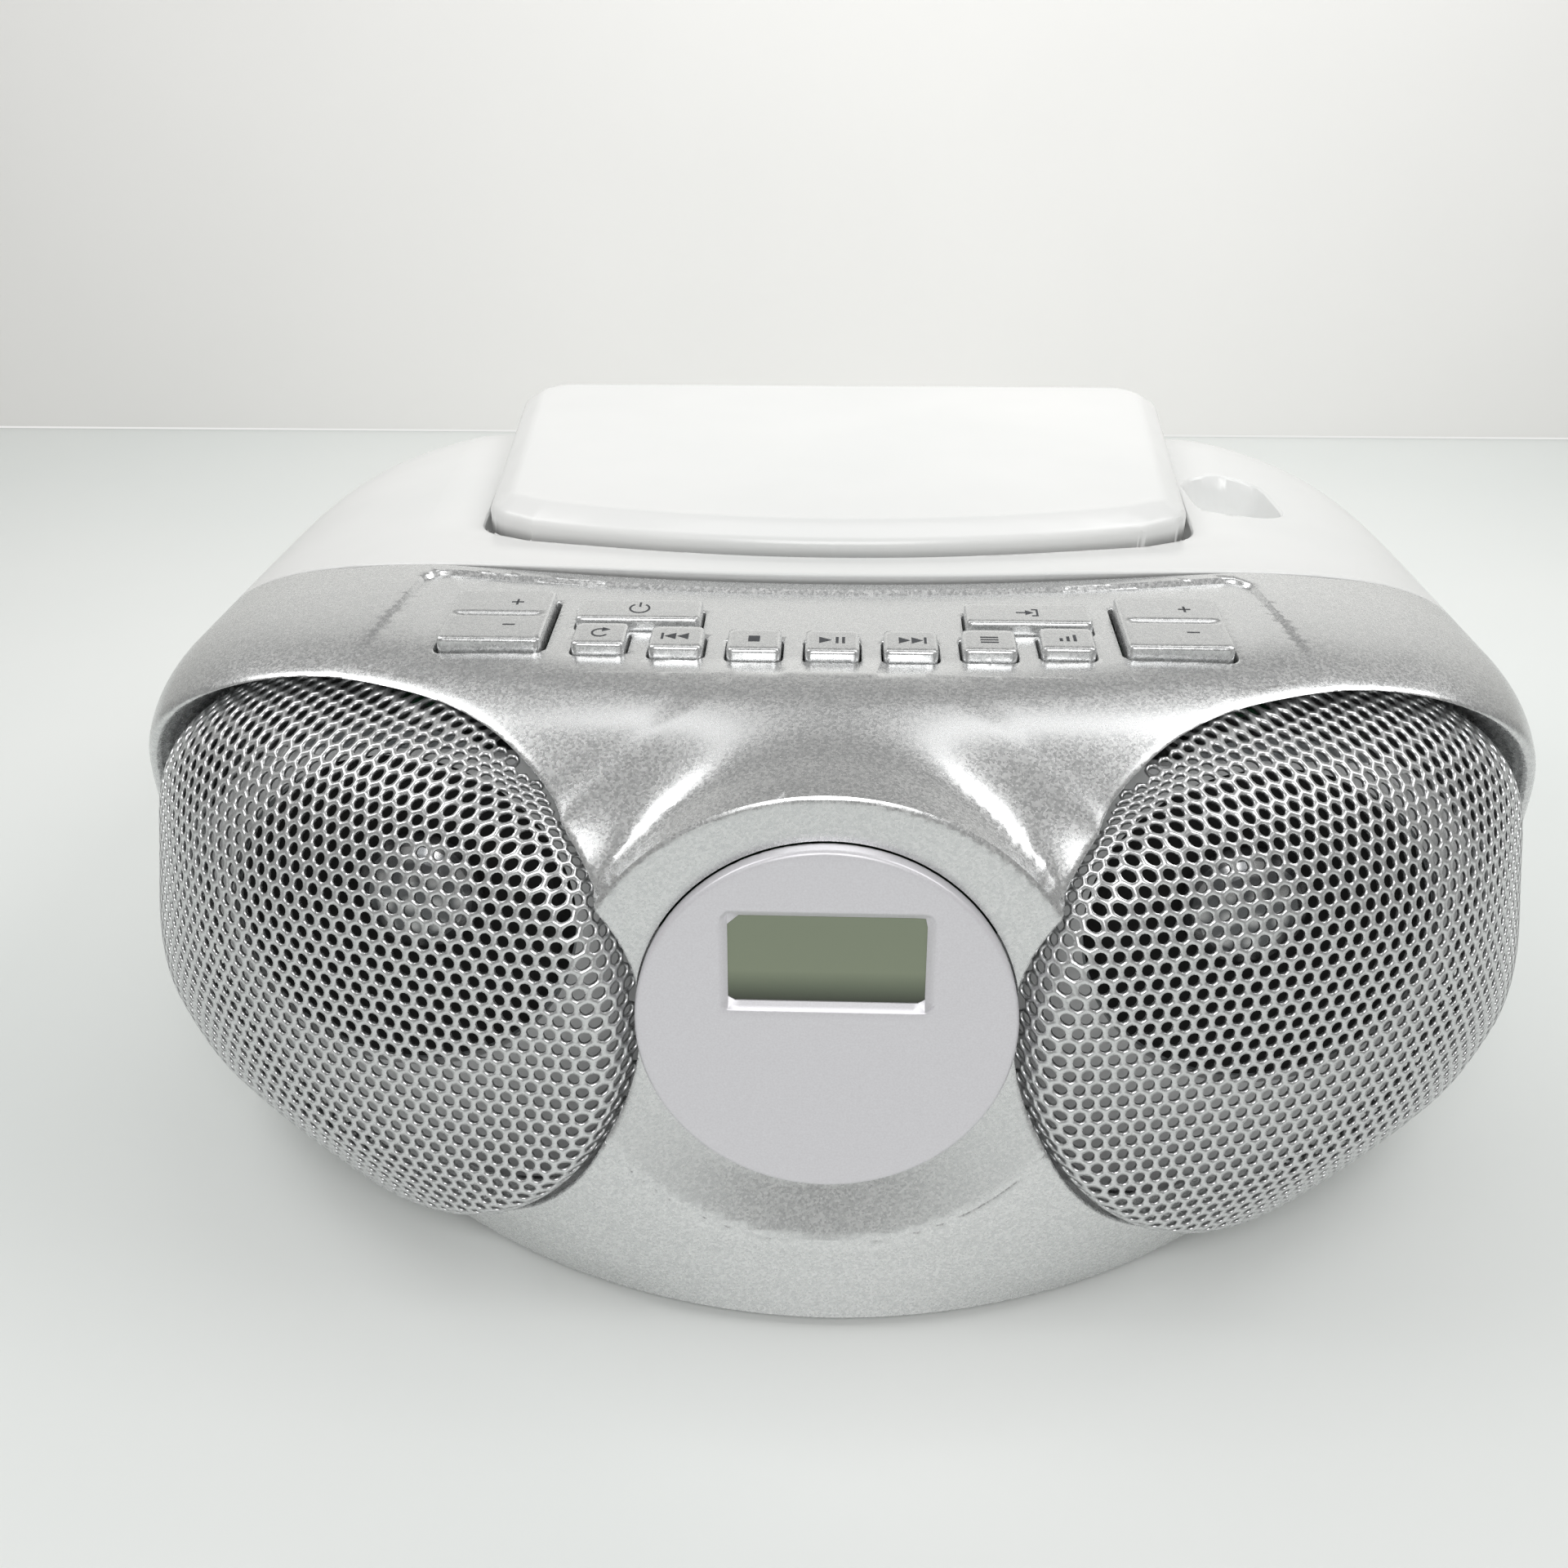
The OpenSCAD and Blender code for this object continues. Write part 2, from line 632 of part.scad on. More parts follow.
module top_deck() color("white") difference() {
    union() {
        difference() {
            body_form();
            hollow();
        }
        intersection() {
            body_form();
            union() {
                translate([0, well_y, well_z - well_t]) cylinder(r = well_r + wall, h = body_h, $fn = 96);
                grip_recess(grip_wall);
                scoop(wall);
                hinge_block(wall);
                hinge_rebate(wall);
                boss_places() translate([0, 0, seam_z]) cylinder(r = boss_r, h = body_h, $fn = round);
            }
        }
    }
    below(seam_z + part_gap);
    ahead_of_seam(part_gap);
    translate([0, well_y, well_z]) cylinder(r = well_r, h = body_h, $fn = 96);
    translate([0, well_y, seam_z]) cylinder(r = hub_r + hub_hole_gap, h = body_h, $fn = fine);
    translate([-slot_w / 2, well_y - lens_near - pickup_travel - lens_r - 1, seam_z])
        cube([slot_w, lens_near + pickup_travel, body_h]);
    grip_recess(0);
    scoop(0);
    hinge_block(part_gap);
    hinge_rebate(0);
    boss_places() cylinder(r = screw_r + screw_gap, h = seam_z + boss_reach, $fn = round);
    aerial_hole(base_r + fit_gap);
}

// Socket bays sunk into the back wall, at -x and +x
module socket_bay(s, g) rounded_box_y_at(s * socket_x, socket_w + 2 * g, socket_z - socket_h / 2 - g,
    socket_z + socket_h / 2 + g, socket_floor_y - g, 2 + g);
module rounded_box_y_at(x, w, low, high, near, r) translate([x, 0, 0])
    rounded_box_y(w, low, high, near, back_y + 2 * wall, r);

vent_n = 12;
vent_pitch = 9;
vent_w = 3;
vent_low = bay_top + bay_wall + 2;
vent_high = seam_z - 3;
post_r = 3;
board_low = 12;
core_w = 44;
core_d = 36;
transformer_in = 62;
transformer_gap = 10;
transformer_x = transformer_in - body_w / 2;
transformer_y = bay_y - bay_wall - transformer_gap - core_d / 2;
main_side = 54;
main_gap = 6;
main_left = transformer_x + core_w / 2 + main_gap;
main_w = body_w / 2 - main_side - main_left;
main_x = main_left + main_w / 2;
main_d = 75;
main_back = 8;
main_y = bay_y - bay_wall - main_back - main_d;
post_inset = 6;
module board_posts() for (x = [-1, 1], y = [main_y + post_inset, main_y + main_d - post_inset])
    translate([main_x + x * (main_w / 2 - post_inset), y, 0]) children();
screw_seat_z = 30;

module bay_box(g) translate([-bay_w / 2 - g, bay_y - g, -g]) cube([bay_w + 2 * g, bay_d + 4 * wall + g, bay_top + 2 * g]);
module door_zone(g) translate([-bay_w / 2 - g, bay_y - g, -1]) cube([bay_w + 2 * g, bay_d + 9 * wall, door_lip + 1 + g]);

module rear_cabinet() color("white") difference() {
    union() {
        difference() {
            body_form();
            hollow();
        }
        intersection() {
            body_form();
            union() {
                bay_box(bay_wall);
                for (s = [-1, 1]) socket_bay(s, socket_wall);
                boss_places() cylinder(r = boss_r, h = seam_z, $fn = round);
                board_posts() cylinder(r = post_r, h = board_low, $fn = round);
            }
        }
    }
    above(seam_z);
    ahead_of_seam(part_gap);
    intersection() {
        bay_box(0);
        hollow();
    }
    door_zone(door_gap);
    for (s = [-1, 1]) socket_bay(s, 0);
    boss_places() cylinder(r = screw_r + 4 * screw_gap, h = body_h, $fn = round);
    boss_places() cylinder(r = screw_head_r + 4 * screw_gap, h = screw_seat_z, $fn = round);
    for (i = [0 : vent_n - 1]) rounded_slot((i - (vent_n - 1) / 2) * vent_pitch);
    for (s = [-1, 1]) translate([socket_x + s * jack_pitch / 2, socket_floor_y - 2 * socket_wall, socket_z])
        rotate([-90, 0, 0]) cylinder(r = jack_nose_r + fit_gap, h = 4 * socket_wall, $fn = round);
    translate([-socket_x - inlet_w / 2 - fit_gap, socket_floor_y - 2 * socket_wall, socket_z - inlet_h / 2 - fit_gap])
        cube([inlet_w + 2 * fit_gap, 4 * socket_wall, inlet_h + 2 * fit_gap]);
}

module rounded_slot(x) hull() for (z = [vent_low, vent_high - vent_w])
    translate([x, back_y - 2 * wall, z + vent_w / 2]) rotate([-90, 0, 0])
        cylinder(r = vent_w / 2, h = 4 * wall, $fn = 16);

module battery_door() color("white") intersection() {
    difference() {
        body_form();
        hollow();
    }
    door_zone(0);
}

contact_s = 18;
contact_t = 0.6;
spring_r = 6;
spring_h = 3;
cell_d = 26.2;
module battery_contacts() color("gold") for (s = [-1, 1], row = [0, 1]) {
    translate([s * (bay_w / 2 - contact_t / 2), bay_y + cell_d / 2 + row * cell_d + 1, base_z + wall + cell_d / 2]) {
        cube([contact_t, contact_s, contact_s], center = true);
        rotate([0, -s * 90, 0]) translate([0, 0, contact_t / 2 - 0.01])
            cylinder(r1 = spring_r, r2 = spring_r - 2, h = row == (s + 1) / 2 ? spring_h : 1, $fn = round);
    }
}

// ---- Lid ----
lid_corner_front = 12;
lid_corner_back = 14;
lid_bow_r = 205;
lid_side_back = 14;
lid_low_z = hinge_z + 0.6;
lid_edge = 4;
lid_slope = 1.55;
lid_back = back_y - lid_back_gap;
lid_edge_y = front_y + lid_front;
lid_top_z = body_h + lid_rise;

module lid_plan(g) hull() {
    for (s = [-1, 1]) {
        translate([s * (lid_w_front / 2 - lid_corner_front), lid_edge_y + lid_side_back + lid_corner_front])
            circle(r = lid_corner_front + g, $fn = 48);
        translate([s * (lid_w_back / 2 - lid_corner_back), lid_back - lid_corner_back])
            circle(r = lid_corner_back + g, $fn = 48);
    }
    intersection() {
        translate([0, lid_edge_y + lid_bow_r]) circle(r = lid_bow_r + g, $fn = 360);
        translate([-lid_w_front / 2 + lid_corner_front, lid_edge_y - lid_side_back])
            square([lid_w_front - 2 * lid_corner_front, 3 * lid_side_back]);
    }
}

module lid_block(g) hull() {
    translate([0, 0, seam_z]) linear_extrude(lid_low_z - seam_z + lid_edge) lid_plan(g);
    translate([0, lid_edge_y, lid_top_z - lid_edge + g]) rotate([-lid_slope, 0, 0]) translate([0, -lid_edge_y, 0])
        linear_extrude(0.01) lid_plan(g);
    translate([0, lid_edge_y, lid_top_z + g]) rotate([-lid_slope, 0, 0]) translate([0, -lid_edge_y, 0])
        linear_extrude(0.01) lid_plan(g - lid_edge);
}

module cd_lid() color("white") difference() {
    lid_block(0);
    lid_block(-lid_t);
    body_form(lid_gap);
    below(lid_low_z);
    for (s = [-1, 1]) translate([s * hinge_x - bracket_w / 2 - ear_gap, back_y - bracket_d - 2, 0])
        cube([bracket_w + 2 * ear_gap, 2 * bracket_d, hinge_z + knuckle_r + 1.5]);
}

arm_t = 2;
arm_len = 20;
arm_gap = 0.25;
arm_back = -2.2;
arm_front = -4.7;
function arm_top(y) = lid_top_z - lid_t - arm_gap - (hinge_y + y - lid_edge_y) * tan(lid_slope);
module lid_hinge_arms() color("white") for (s = [-1, 1]) translate([s * hinge_x + knuckle_w / 2, hinge_y, 0])
    rotate([0, -90, 0]) linear_extrude(knuckle_w) difference() {
        union() {
            translate([hinge_z, 0]) circle(r = knuckle_r, $fn = fine);
            polygon([[hinge_z, arm_back], [arm_top(0) - lid_edge, arm_back], [arm_top(0), arm_back - lid_edge],
                [arm_top(-arm_len), -arm_len], [arm_top(-arm_len) - arm_t, -arm_len],
                [arm_top(0) - arm_t, arm_front - lid_edge + 1], [arm_top(0) - lid_edge - 1, arm_front], [hinge_z, arm_front]]);
        }
        translate([hinge_z, 0]) circle(r = pin_r + axle_gap, $fn = fine);
    }

module lid_hinge_brackets() color("white") for (s = [-1, 1]) translate([s * hinge_x, 0, 0]) difference() {
    union() {
        translate([-bracket_w / 2, back_y - bracket_d, bracket_floor]) cube([bracket_w, bracket_d, bracket_t]);
        for (x = [-bracket_w / 2, bracket_w / 2 - ear_t]) {
            translate([x, hinge_y - knuckle_r, bracket_floor]) cube([ear_t, 2 * knuckle_r - 1.2, hinge_z - bracket_floor]);
            translate([x, hinge_y, hinge_z]) rotate([0, 90, 0]) cylinder(r = knuckle_r, h = ear_t, $fn = fine);
        }
    }
    translate([-bracket_w, hinge_y, hinge_z]) rotate([0, 90, 0])
        cylinder(r = pin_r + screw_gap / 2, h = 2 * bracket_w, $fn = fine);
    translate([-bracket_w, hinge_y + knuckle_r - 1.2, bracket_floor - 1]) cube([2 * bracket_w, 3, 2 * bracket_d]);
}

module lid_hinge_pins() color("lightgray") for (s = [-1, 1])
    translate([s * hinge_x - bracket_w / 2, hinge_y, hinge_z]) rotate([0, 90, 0])
        cylinder(r = pin_r, h = bracket_w, $fn = fine);

// ---- Disc drive ----
disc_level = well_z + 6;
hub_t = 3;
nose_h = 4;
nose_bevel = 1.2;
shaft_r = 1;
damper_h = 6;
damper_r = 5;
chassis_top = well_z - well_t - damper_h;
chassis_t = 2;
chassis_low = chassis_top - chassis_t;
motor_r = 12;
motor_h = 8.5;
shaft_low = chassis_low - motor_h + 1;

module turntable_hub() color("dimgray") translate([0, well_y, 0]) {
    translate([0, 0, disc_level - hub_t]) cylinder(r = hub_r, h = hub_t, $fn = 96);
    translate([0, 0, disc_level - 0.01]) cylinder(r = hub_nose_r, h = nose_h - nose_bevel + 0.01, $fn = 96);
    translate([0, 0, disc_level + nose_h - nose_bevel])
        cylinder(r1 = hub_nose_r, r2 = hub_nose_r - nose_bevel, h = nose_bevel, $fn = 96);
    translate([0, 0, chassis_top + 1]) cylinder(r = 3.5, h = disc_level - hub_t - chassis_top - 0.9, $fn = round);
    translate([0, 0, shaft_low]) cylinder(r = shaft_r, h = disc_level - shaft_low - 1, $fn = round);
}

module spindle_motor() color("lightgray") translate([0, well_y, 0]) difference() {
    union() {
        translate([0, 0, chassis_low - motor_h]) cylinder(r = motor_r, h = motor_h, $fn = fine);
        translate([0, 0, chassis_low - 0.01]) cylinder(r = 3, h = chassis_t - 0.2, $fn = round);
    }
    translate([0, 0, shaft_low - 0.1]) cylinder(r = shaft_r + axle_gap, h = body_h, $fn = round);
}

sled_w = 34;
sled_d = 20;
sled_h = 4.6;
sled_low = chassis_top + 0.6;
rod_x = 13;
rod_r = 1.5;
rod_z = sled_low + sled_h / 2;
rod_gap = 0.05;
window_w = sled_w + 3;
window_near = 14;
window_far = lens_near + pickup_travel + sled_d / 2 + 2;
chassis_w = 84;
chassis_near = 18;
chassis_rim = 6;
rod_len = window_far - window_near + 4;
rack_t = 1.5;
rack_len = pickup_travel + 8;
gear_r = 6;
big_gear_r = 7.2;
pinion_r = 2;
mesh_gap = 0.05;
gear_t = 1.2;
gear_low = chassis_top + 0.3;
gear_x = sled_w / 2 + rack_t + mesh_gap + gear_r;
gear_y = well_y - lens_near - pickup_travel / 2;
pinion_x = gear_x + big_gear_r + mesh_gap + pinion_r;

module mechanism_chassis() color("gray") difference() {
    union() {
        translate([-chassis_w / 2, well_y - window_far - chassis_rim, chassis_low])
            cube([chassis_w, window_far + chassis_rim + chassis_near, chassis_t]);
        for (s = [-1, 1], y = [well_y - window_far - 2, well_y - window_near])
            translate([s * rod_x - 2.5, y, chassis_top - 0.01]) cube([5, 2, rod_z - chassis_top + rod_r + 1]);
        translate([gear_x, gear_y, chassis_top - 0.01]) cylinder(r = shaft_r, h = sled_h, $fn = round);
    }
    translate([-window_w / 2, well_y - window_far, chassis_low - 1])
        cube([window_w, window_far - window_near, chassis_t + 2]);
    translate([0, well_y, chassis_low - 1]) cylinder(r = 3.1, h = chassis_t + 2, $fn = round);
    translate([pinion_x, gear_y, chassis_low - 1]) cylinder(r = 1.5, h = chassis_t + 2, $fn = round);
    for (s = [-1, 1]) translate([s * rod_x, well_y + 1, rod_z]) rotate([90, 0, 0])
        cylinder(r = rod_r + screw_gap, h = rod_len + chassis_rim + chassis_near, $fn = round);
}

module pickup_guide_rods() color("lightgray") for (s = [-1, 1])
    translate([s * rod_x, well_y - window_near + 2, rod_z]) rotate([90, 0, 0])
        cylinder(r = rod_r, h = rod_len, $fn = round);

lens_y = well_y - lens_near;
module laser_pickup() color("darkslategray") difference() {
    union() {
        translate([-sled_w / 2, lens_y - sled_d / 2, sled_low]) cube([sled_w, sled_d, sled_h]);
        translate([0, lens_y, sled_low]) cylinder(r = lens_r, h = disc_level - 3 - sled_low, $fn = round);
        translate([sled_w / 2 - 0.01, gear_y - rack_len / 2 + pickup_travel / 2, gear_low + gear_t + 0.5])
            cube([rack_t + 0.01, rack_len, gear_t]);
    }
    for (s = [-1, 1]) translate([s * rod_x, lens_y + sled_d, rod_z]) rotate([90, 0, 0])
        cylinder(r = rod_r + rod_gap, h = 2 * sled_d, $fn = round);
}

module sled_gear() color("white") translate([gear_x, gear_y, 0]) difference() {
    union() {
        translate([0, 0, gear_low]) cylinder(r = big_gear_r, h = gear_t, $fn = 96);
        translate([0, 0, gear_low + gear_t - 0.01]) cylinder(r = gear_r, h = gear_t + 0.8, $fn = 96);
    }
    translate([0, 0, gear_low - 1]) cylinder(r = shaft_r + axle_gap, h = 4 * gear_t, $fn = round);
}

module sled_pinion() color("white") translate([pinion_x, gear_y, 0]) {
    translate([0, 0, gear_low]) cylinder(r = pinion_r, h = gear_t, $fn = round);
    translate([0, 0, chassis_low - 5]) cylinder(r = shaft_r, h = gear_low - chassis_low + 5.5, $fn = round);
}

sled_motor_r = 7;
sled_motor_h = 12;
module sled_motor() color("lightgray") translate([pinion_x, gear_y, chassis_low - sled_motor_h]) difference() {
    cylinder(r = sled_motor_r, h = sled_motor_h, $fn = fine);
    translate([0, 0, sled_motor_h - 5.5]) cylinder(r = shaft_r + axle_gap, h = 10, $fn = round);
}

damper_x = chassis_w / 2 - 6;
damper_front = 28;
module damper_places() for (s = [-1, 1], y = [well_y - damper_front, well_y + chassis_near - 6])
    translate([s * damper_x, y, 0]) children();
module rubber_dampers() color("black") damper_places() translate([0, 0, chassis_top])
    cylinder(r = damper_r, h = damper_h, $fn = fine);

// ---- Electronics ----
part_h = 12;
part_r = 4;
part_side = 18;
part_pitch = 24;
chip_w = 40;
chip_d = 12;
chip_h = 3;
sink_w = 24;
sink_t = 3;
module main_board() color("darkgreen") translate([main_left, main_y, board_low]) {
    cube([main_w, main_d, board_t]);
    for (i = [0 : 4]) translate([part_side + part_pitch * i, main_d / 3, board_t - 0.01])
        cylinder(r = part_r, h = part_h, $fn = round);
    translate([(main_w - chip_w) / 2, main_d - part_side - chip_d / 2, board_t - 0.01]) cube([chip_w, chip_d, chip_h]);
    translate([part_side, main_d - part_side, board_t - 0.01]) cube([sink_w, sink_t, 2 * part_h]);
}

core_h = 38;
coil_t = 7;
module transformer() color("gray") translate([transformer_x, transformer_y, base_z + wall]) {
    translate([-core_w / 2 + coil_t, -core_d / 2, 0]) cube([core_w - 2 * coil_t, core_d, core_h]);
    translate([-core_w / 2, -core_d / 2 + coil_t, coil_t]) cube([core_w, core_d - 2 * coil_t, core_h - 2 * coil_t]);
}

flange = 1.2;
prong_r = 1.2;
prong_gap = 8.6;
mouth_w = 15.8;
mouth_h = 7.4;
mouth_floor = 2;
inlet_deep = 12;
module mains_inlet() color("black") translate([-socket_x, socket_floor_y, socket_z]) {
    difference() {
        union() {
            translate([-inlet_w / 2 - flange, 0, -inlet_h / 2 - flange])
                cube([inlet_w + 2 * flange, flange, inlet_h + 2 * flange]);
            translate([-inlet_w / 2, -inlet_deep, -inlet_h / 2]) cube([inlet_w, inlet_deep + 0.01, inlet_h]);
        }
        translate([-mouth_w / 2, -inlet_deep + mouth_floor, -mouth_h / 2])
            cube([mouth_w, 2 * inlet_deep, mouth_h]);
    }
    for (s = [-1, 1]) translate([s * prong_gap / 2, -inlet_deep + mouth_floor - 0.1, 0]) rotate([-90, 0, 0])
        cylinder(r = prong_r, h = 9, $fn = round);
}

jack_len = 14;
module jack(i) color("black") translate([socket_x + i * jack_pitch / 2, socket_floor_y, socket_z]) difference() {
    union() {
        rotate([90, 0, 0]) translate([0, 0, -flange]) cylinder(r = jack_nose_r, h = jack_len, $fn = fine);
        translate([-jack_nose_r - 1, -jack_len - 3, -jack_nose_r - 1])
            cube([2 * jack_nose_r + 2, jack_len - 1, 2 * jack_nose_r + 2]);
    }
    rotate([90, 0, 0]) translate([0, 0, -2 * flange]) cylinder(r = jack_r, h = jack_len + 2 * flange, $fn = fine);
}
module aux_jack() jack(-1);
module headphone_jack() jack(1);

// ---- Aerial ----
aerial_pin_r = 1.2;
pivot_r = 2.5;
fork_t = 2.2;
eye_t = 4;
fork_gap = 0.2;
disc_h = 1.6;
base_end = aerial_y - 5.5;
tube_start = 8.5;
tube_wall = 0.55;
slide_gap = 0.05;
mid_r = aerial_r - tube_wall - slide_gap;
tip_r = mid_r - tube_wall - slide_gap;
tip_h = 5;

module aerial_base() color("white") translate([aerial_x, 0, aerial_z]) rotate([-90, 0, 0]) {
    translate([0, 0, back_y - base_in]) cylinder(r = base_r, h = base_end - back_y + base_in, $fn = fine);
    translate([0, 0, base_end - 0.01]) cylinder(r = pivot_r, h = disc_h * 0.8, $fn = fine);
}

module aerial_knuckle() color("silver") translate([aerial_x, 0, aerial_z]) {
    difference() {
        translate([0, base_end + fork_gap, 0]) rotate([-90, 0, 0]) cylinder(r = base_r - 0.5, h = disc_h, $fn = fine);
        translate([0, base_end - 1, 0]) rotate([-90, 0, 0]) cylinder(r = pivot_r + axle_gap, h = 4, $fn = fine);
    }
    for (s = [-1, 1]) translate([-4.5, base_end + disc_h + fork_gap - 0.01, s * (eye_t / 2 + fork_gap + fork_t / 2) - fork_t / 2])
        cube([9, aerial_y + aerial_r - base_end - disc_h - fork_gap, fork_t]);
    translate([0, aerial_y, -eye_t / 2 - fork_gap - 1]) cylinder(r = aerial_pin_r, h = eye_t + 2 * fork_gap + 2, $fn = round);
}

module aerial_tube() color("silver") translate([aerial_x, aerial_y, aerial_z]) {
    difference() {
        union() {
            translate([0, 0, -eye_t / 2]) cylinder(r = 3, h = eye_t, $fn = fine);
            translate([-tube_start - 1, -2, -eye_t / 2]) cube([tube_start, 4, eye_t]);
        }
        translate([0, 0, -eye_t]) cylinder(r = aerial_pin_r + axle_gap, h = 2 * eye_t, $fn = fine);
    }
    rotate([0, -90, 0]) difference() {
        translate([0, 0, tube_start]) cylinder(r = aerial_r, h = aerial_len, $fn = fine);
        translate([0, 0, tube_start + 2]) cylinder(r = aerial_r - tube_wall, h = aerial_len, $fn = fine);
    }
}

module aerial_mid_section() color("silver") translate([aerial_x, aerial_y, aerial_z]) rotate([0, -90, 0])
    difference() {
        translate([0, 0, tube_start + 3]) cylinder(r = mid_r, h = aerial_len - 2, $fn = fine);
        translate([0, 0, tube_start + 5]) cylinder(r = mid_r - tube_wall, h = aerial_len, $fn = fine);
    }

module aerial_tip_section() color("silver") translate([aerial_x, aerial_y, aerial_z]) rotate([0, -90, 0]) {
    translate([0, 0, tube_start + 6]) cylinder(r = tip_r, h = aerial_len - 4, $fn = fine);
    translate([0, 0, tube_start + aerial_len + 1.5]) cylinder(r = aerial_r, h = tip_h, $fn = fine);
}

// ---- Feet and screws ----
foot_in = 58;
foot_front = 56;
foot_back = 36;
foot_x = body_w / 2 - foot_in;
foot_front_y = front_y + foot_front;
foot_back_y = back_y - foot_back;
module rubber_feet() color("dimgray") for (x = [-foot_x, foot_x], y = [foot_front_y, foot_back_y])
    translate([x, y, 0]) cylinder(r = foot_r, h = base_z, $fn = fine);

screw_head_h = 2;
module cabinet_screws() color("gray") boss_places() {
    translate([0, 0, screw_seat_z - screw_head_h]) cylinder(r = screw_head_r, h = screw_head_h, $fn = round);
    translate([0, 0, screw_seat_z - 0.01]) cylinder(r = screw_r, h = seam_z + boss_reach - screw_seat_z - 1, $fn = round);
}

small_head_r = 1.6;
small_head_h = 1.5;
module speaker_screws() color("gray") for (side = [-1, 1]) at_speaker(side) speaker_holes() {
    translate([0, 0, -flange_t - small_head_h]) cylinder(r = small_head_r, h = small_head_h, $fn = round);
    translate([0, 0, -flange_t - 0.01]) cylinder(r = small_screw_r, h = flange_t + screw_bite, $fn = round);
}

front_bezel();
display_panel();
lcd_window();
lcd_module();
left_grille();
right_grille();
left_baffle();
right_baffle();
left_speaker_frame();
right_speaker_frame();
left_speaker_cone();
right_speaker_cone();
left_dust_cap();
right_dust_cap();
left_speaker_magnet();
right_speaker_magnet();
preset_rocker();
volume_rocker();
power_key();
source_key();
mode_key();
previous_key();
stop_key();
play_pause_key();
next_key();
program_key();
bass_boost_key();
rocker_saddles();
key_board();
top_deck();
rear_cabinet();
cd_lid();
lid_hinge_arms();
lid_hinge_brackets();
lid_hinge_pins();
turntable_hub();
spindle_motor();
mechanism_chassis();
pickup_guide_rods();
laser_pickup();
sled_gear();
sled_pinion();
sled_motor();
rubber_dampers();
main_board();
transformer();
mains_inlet();
aux_jack();
headphone_jack();
battery_door();
battery_contacts();
aerial_base();
aerial_knuckle();
aerial_tube();
aerial_mid_section();
aerial_tip_section();
rubber_feet();
cabinet_screws();
speaker_screws();
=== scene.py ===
import bpy
import bmesh
import math
import numpy as np
from mathutils import Matrix, Vector


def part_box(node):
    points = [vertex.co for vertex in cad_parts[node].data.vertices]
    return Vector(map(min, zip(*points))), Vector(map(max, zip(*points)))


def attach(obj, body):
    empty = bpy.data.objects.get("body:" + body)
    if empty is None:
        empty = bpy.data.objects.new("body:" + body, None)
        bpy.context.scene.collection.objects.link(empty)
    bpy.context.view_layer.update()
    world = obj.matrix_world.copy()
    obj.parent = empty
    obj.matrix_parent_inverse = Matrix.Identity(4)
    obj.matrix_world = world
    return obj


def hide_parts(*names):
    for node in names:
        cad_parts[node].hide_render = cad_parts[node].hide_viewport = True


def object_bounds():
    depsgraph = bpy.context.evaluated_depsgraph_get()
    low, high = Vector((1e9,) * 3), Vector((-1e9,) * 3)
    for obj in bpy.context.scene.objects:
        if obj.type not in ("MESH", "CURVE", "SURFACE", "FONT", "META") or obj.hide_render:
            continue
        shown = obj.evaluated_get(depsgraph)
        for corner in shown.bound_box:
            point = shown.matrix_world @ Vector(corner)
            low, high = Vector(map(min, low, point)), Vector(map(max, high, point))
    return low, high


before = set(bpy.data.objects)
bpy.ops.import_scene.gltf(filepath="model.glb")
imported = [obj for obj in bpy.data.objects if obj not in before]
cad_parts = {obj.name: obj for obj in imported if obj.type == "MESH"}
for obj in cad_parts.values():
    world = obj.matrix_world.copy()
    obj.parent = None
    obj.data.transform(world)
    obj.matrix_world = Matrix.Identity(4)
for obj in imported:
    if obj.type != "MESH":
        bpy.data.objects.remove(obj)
cadBox = [list(corner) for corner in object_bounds()]
print("frame loaded")

scene = bpy.context.scene
mm = 0.001
frontY = cadBox[0][1] / mm  # the chin's foremost line

# outer form of the radio, all in millimetres
form = {"width": 292.0, "height": 115.5, "depth": 242.5, "base": 2.0, "waist": 58.0, "keel": 24.0,
        "lean": 8.0, "seamY": -32.7, "widest": -31.7, "seamRadius": 400.0, "seamZ": 50.0,
        "sideUp": 4.0, "sideLow": 2.2, "front": 2.3, "chin": 1.9, "chinHeight": 30.0,
        "back": 6.0, "brow": 3.2, "browDepth": 90.0, "backBulge": 5.5, "backBrow": 3.4,
        "backBrowDepth": 26.0, "crown": 0.06}
backY = frontY + form["depth"]
lean = math.radians(form["lean"])


def smoothStep(low, high, value):
    t = np.clip((value - low) / (high - low), 0.0, 1.0)
    return t * t * (3 - 2 * t)


def softMax(a, b, reach):
    # larger of two heights with a rounded meeting
    h = np.maximum(0.0, 1 - np.abs(a - b) / np.maximum(reach, 1e-6))
    return np.maximum(a, b) + h * h * reach / 4


def roundOff(t, power):
    return np.power(np.maximum(0.0, 1 - np.power(t, power)), 1 / power)


def rise(z, grow=0.0):
    return np.clip((z - form["waist"]) / (form["height"] + grow - form["waist"]), 0.0, 1.0)


def halfWidth(z, grow=0.0):
    fall = np.clip((form["waist"] - z) / (form["waist"] + form["keel"]), 0.0, 1.0)
    above = roundOff(rise(z, grow), form["sideUp"])
    share = np.where(z > form["waist"], above, roundOff(fall, form["sideLow"]))
    return share * form["width"] / 2 + grow


def noseY(z, grow=0.0):
    lift = form["browDepth"] * (1 - roundOff(rise(z, grow), form["brow"]))
    return frontY + (z - form["base"]) * math.tan(lean) + lift - grow


def tailY(z, grow=0.0):
    drop = form["backBrowDepth"] * (1 - roundOff(rise(z, grow), form["backBrow"]))
    return backY + form["backBulge"] - drop + grow


def crownFall(y, z):
    # how far the crown drops towards the back
    return form["crown"] * np.maximum(0, y - form["seamY"]) * rise(z) ** 2


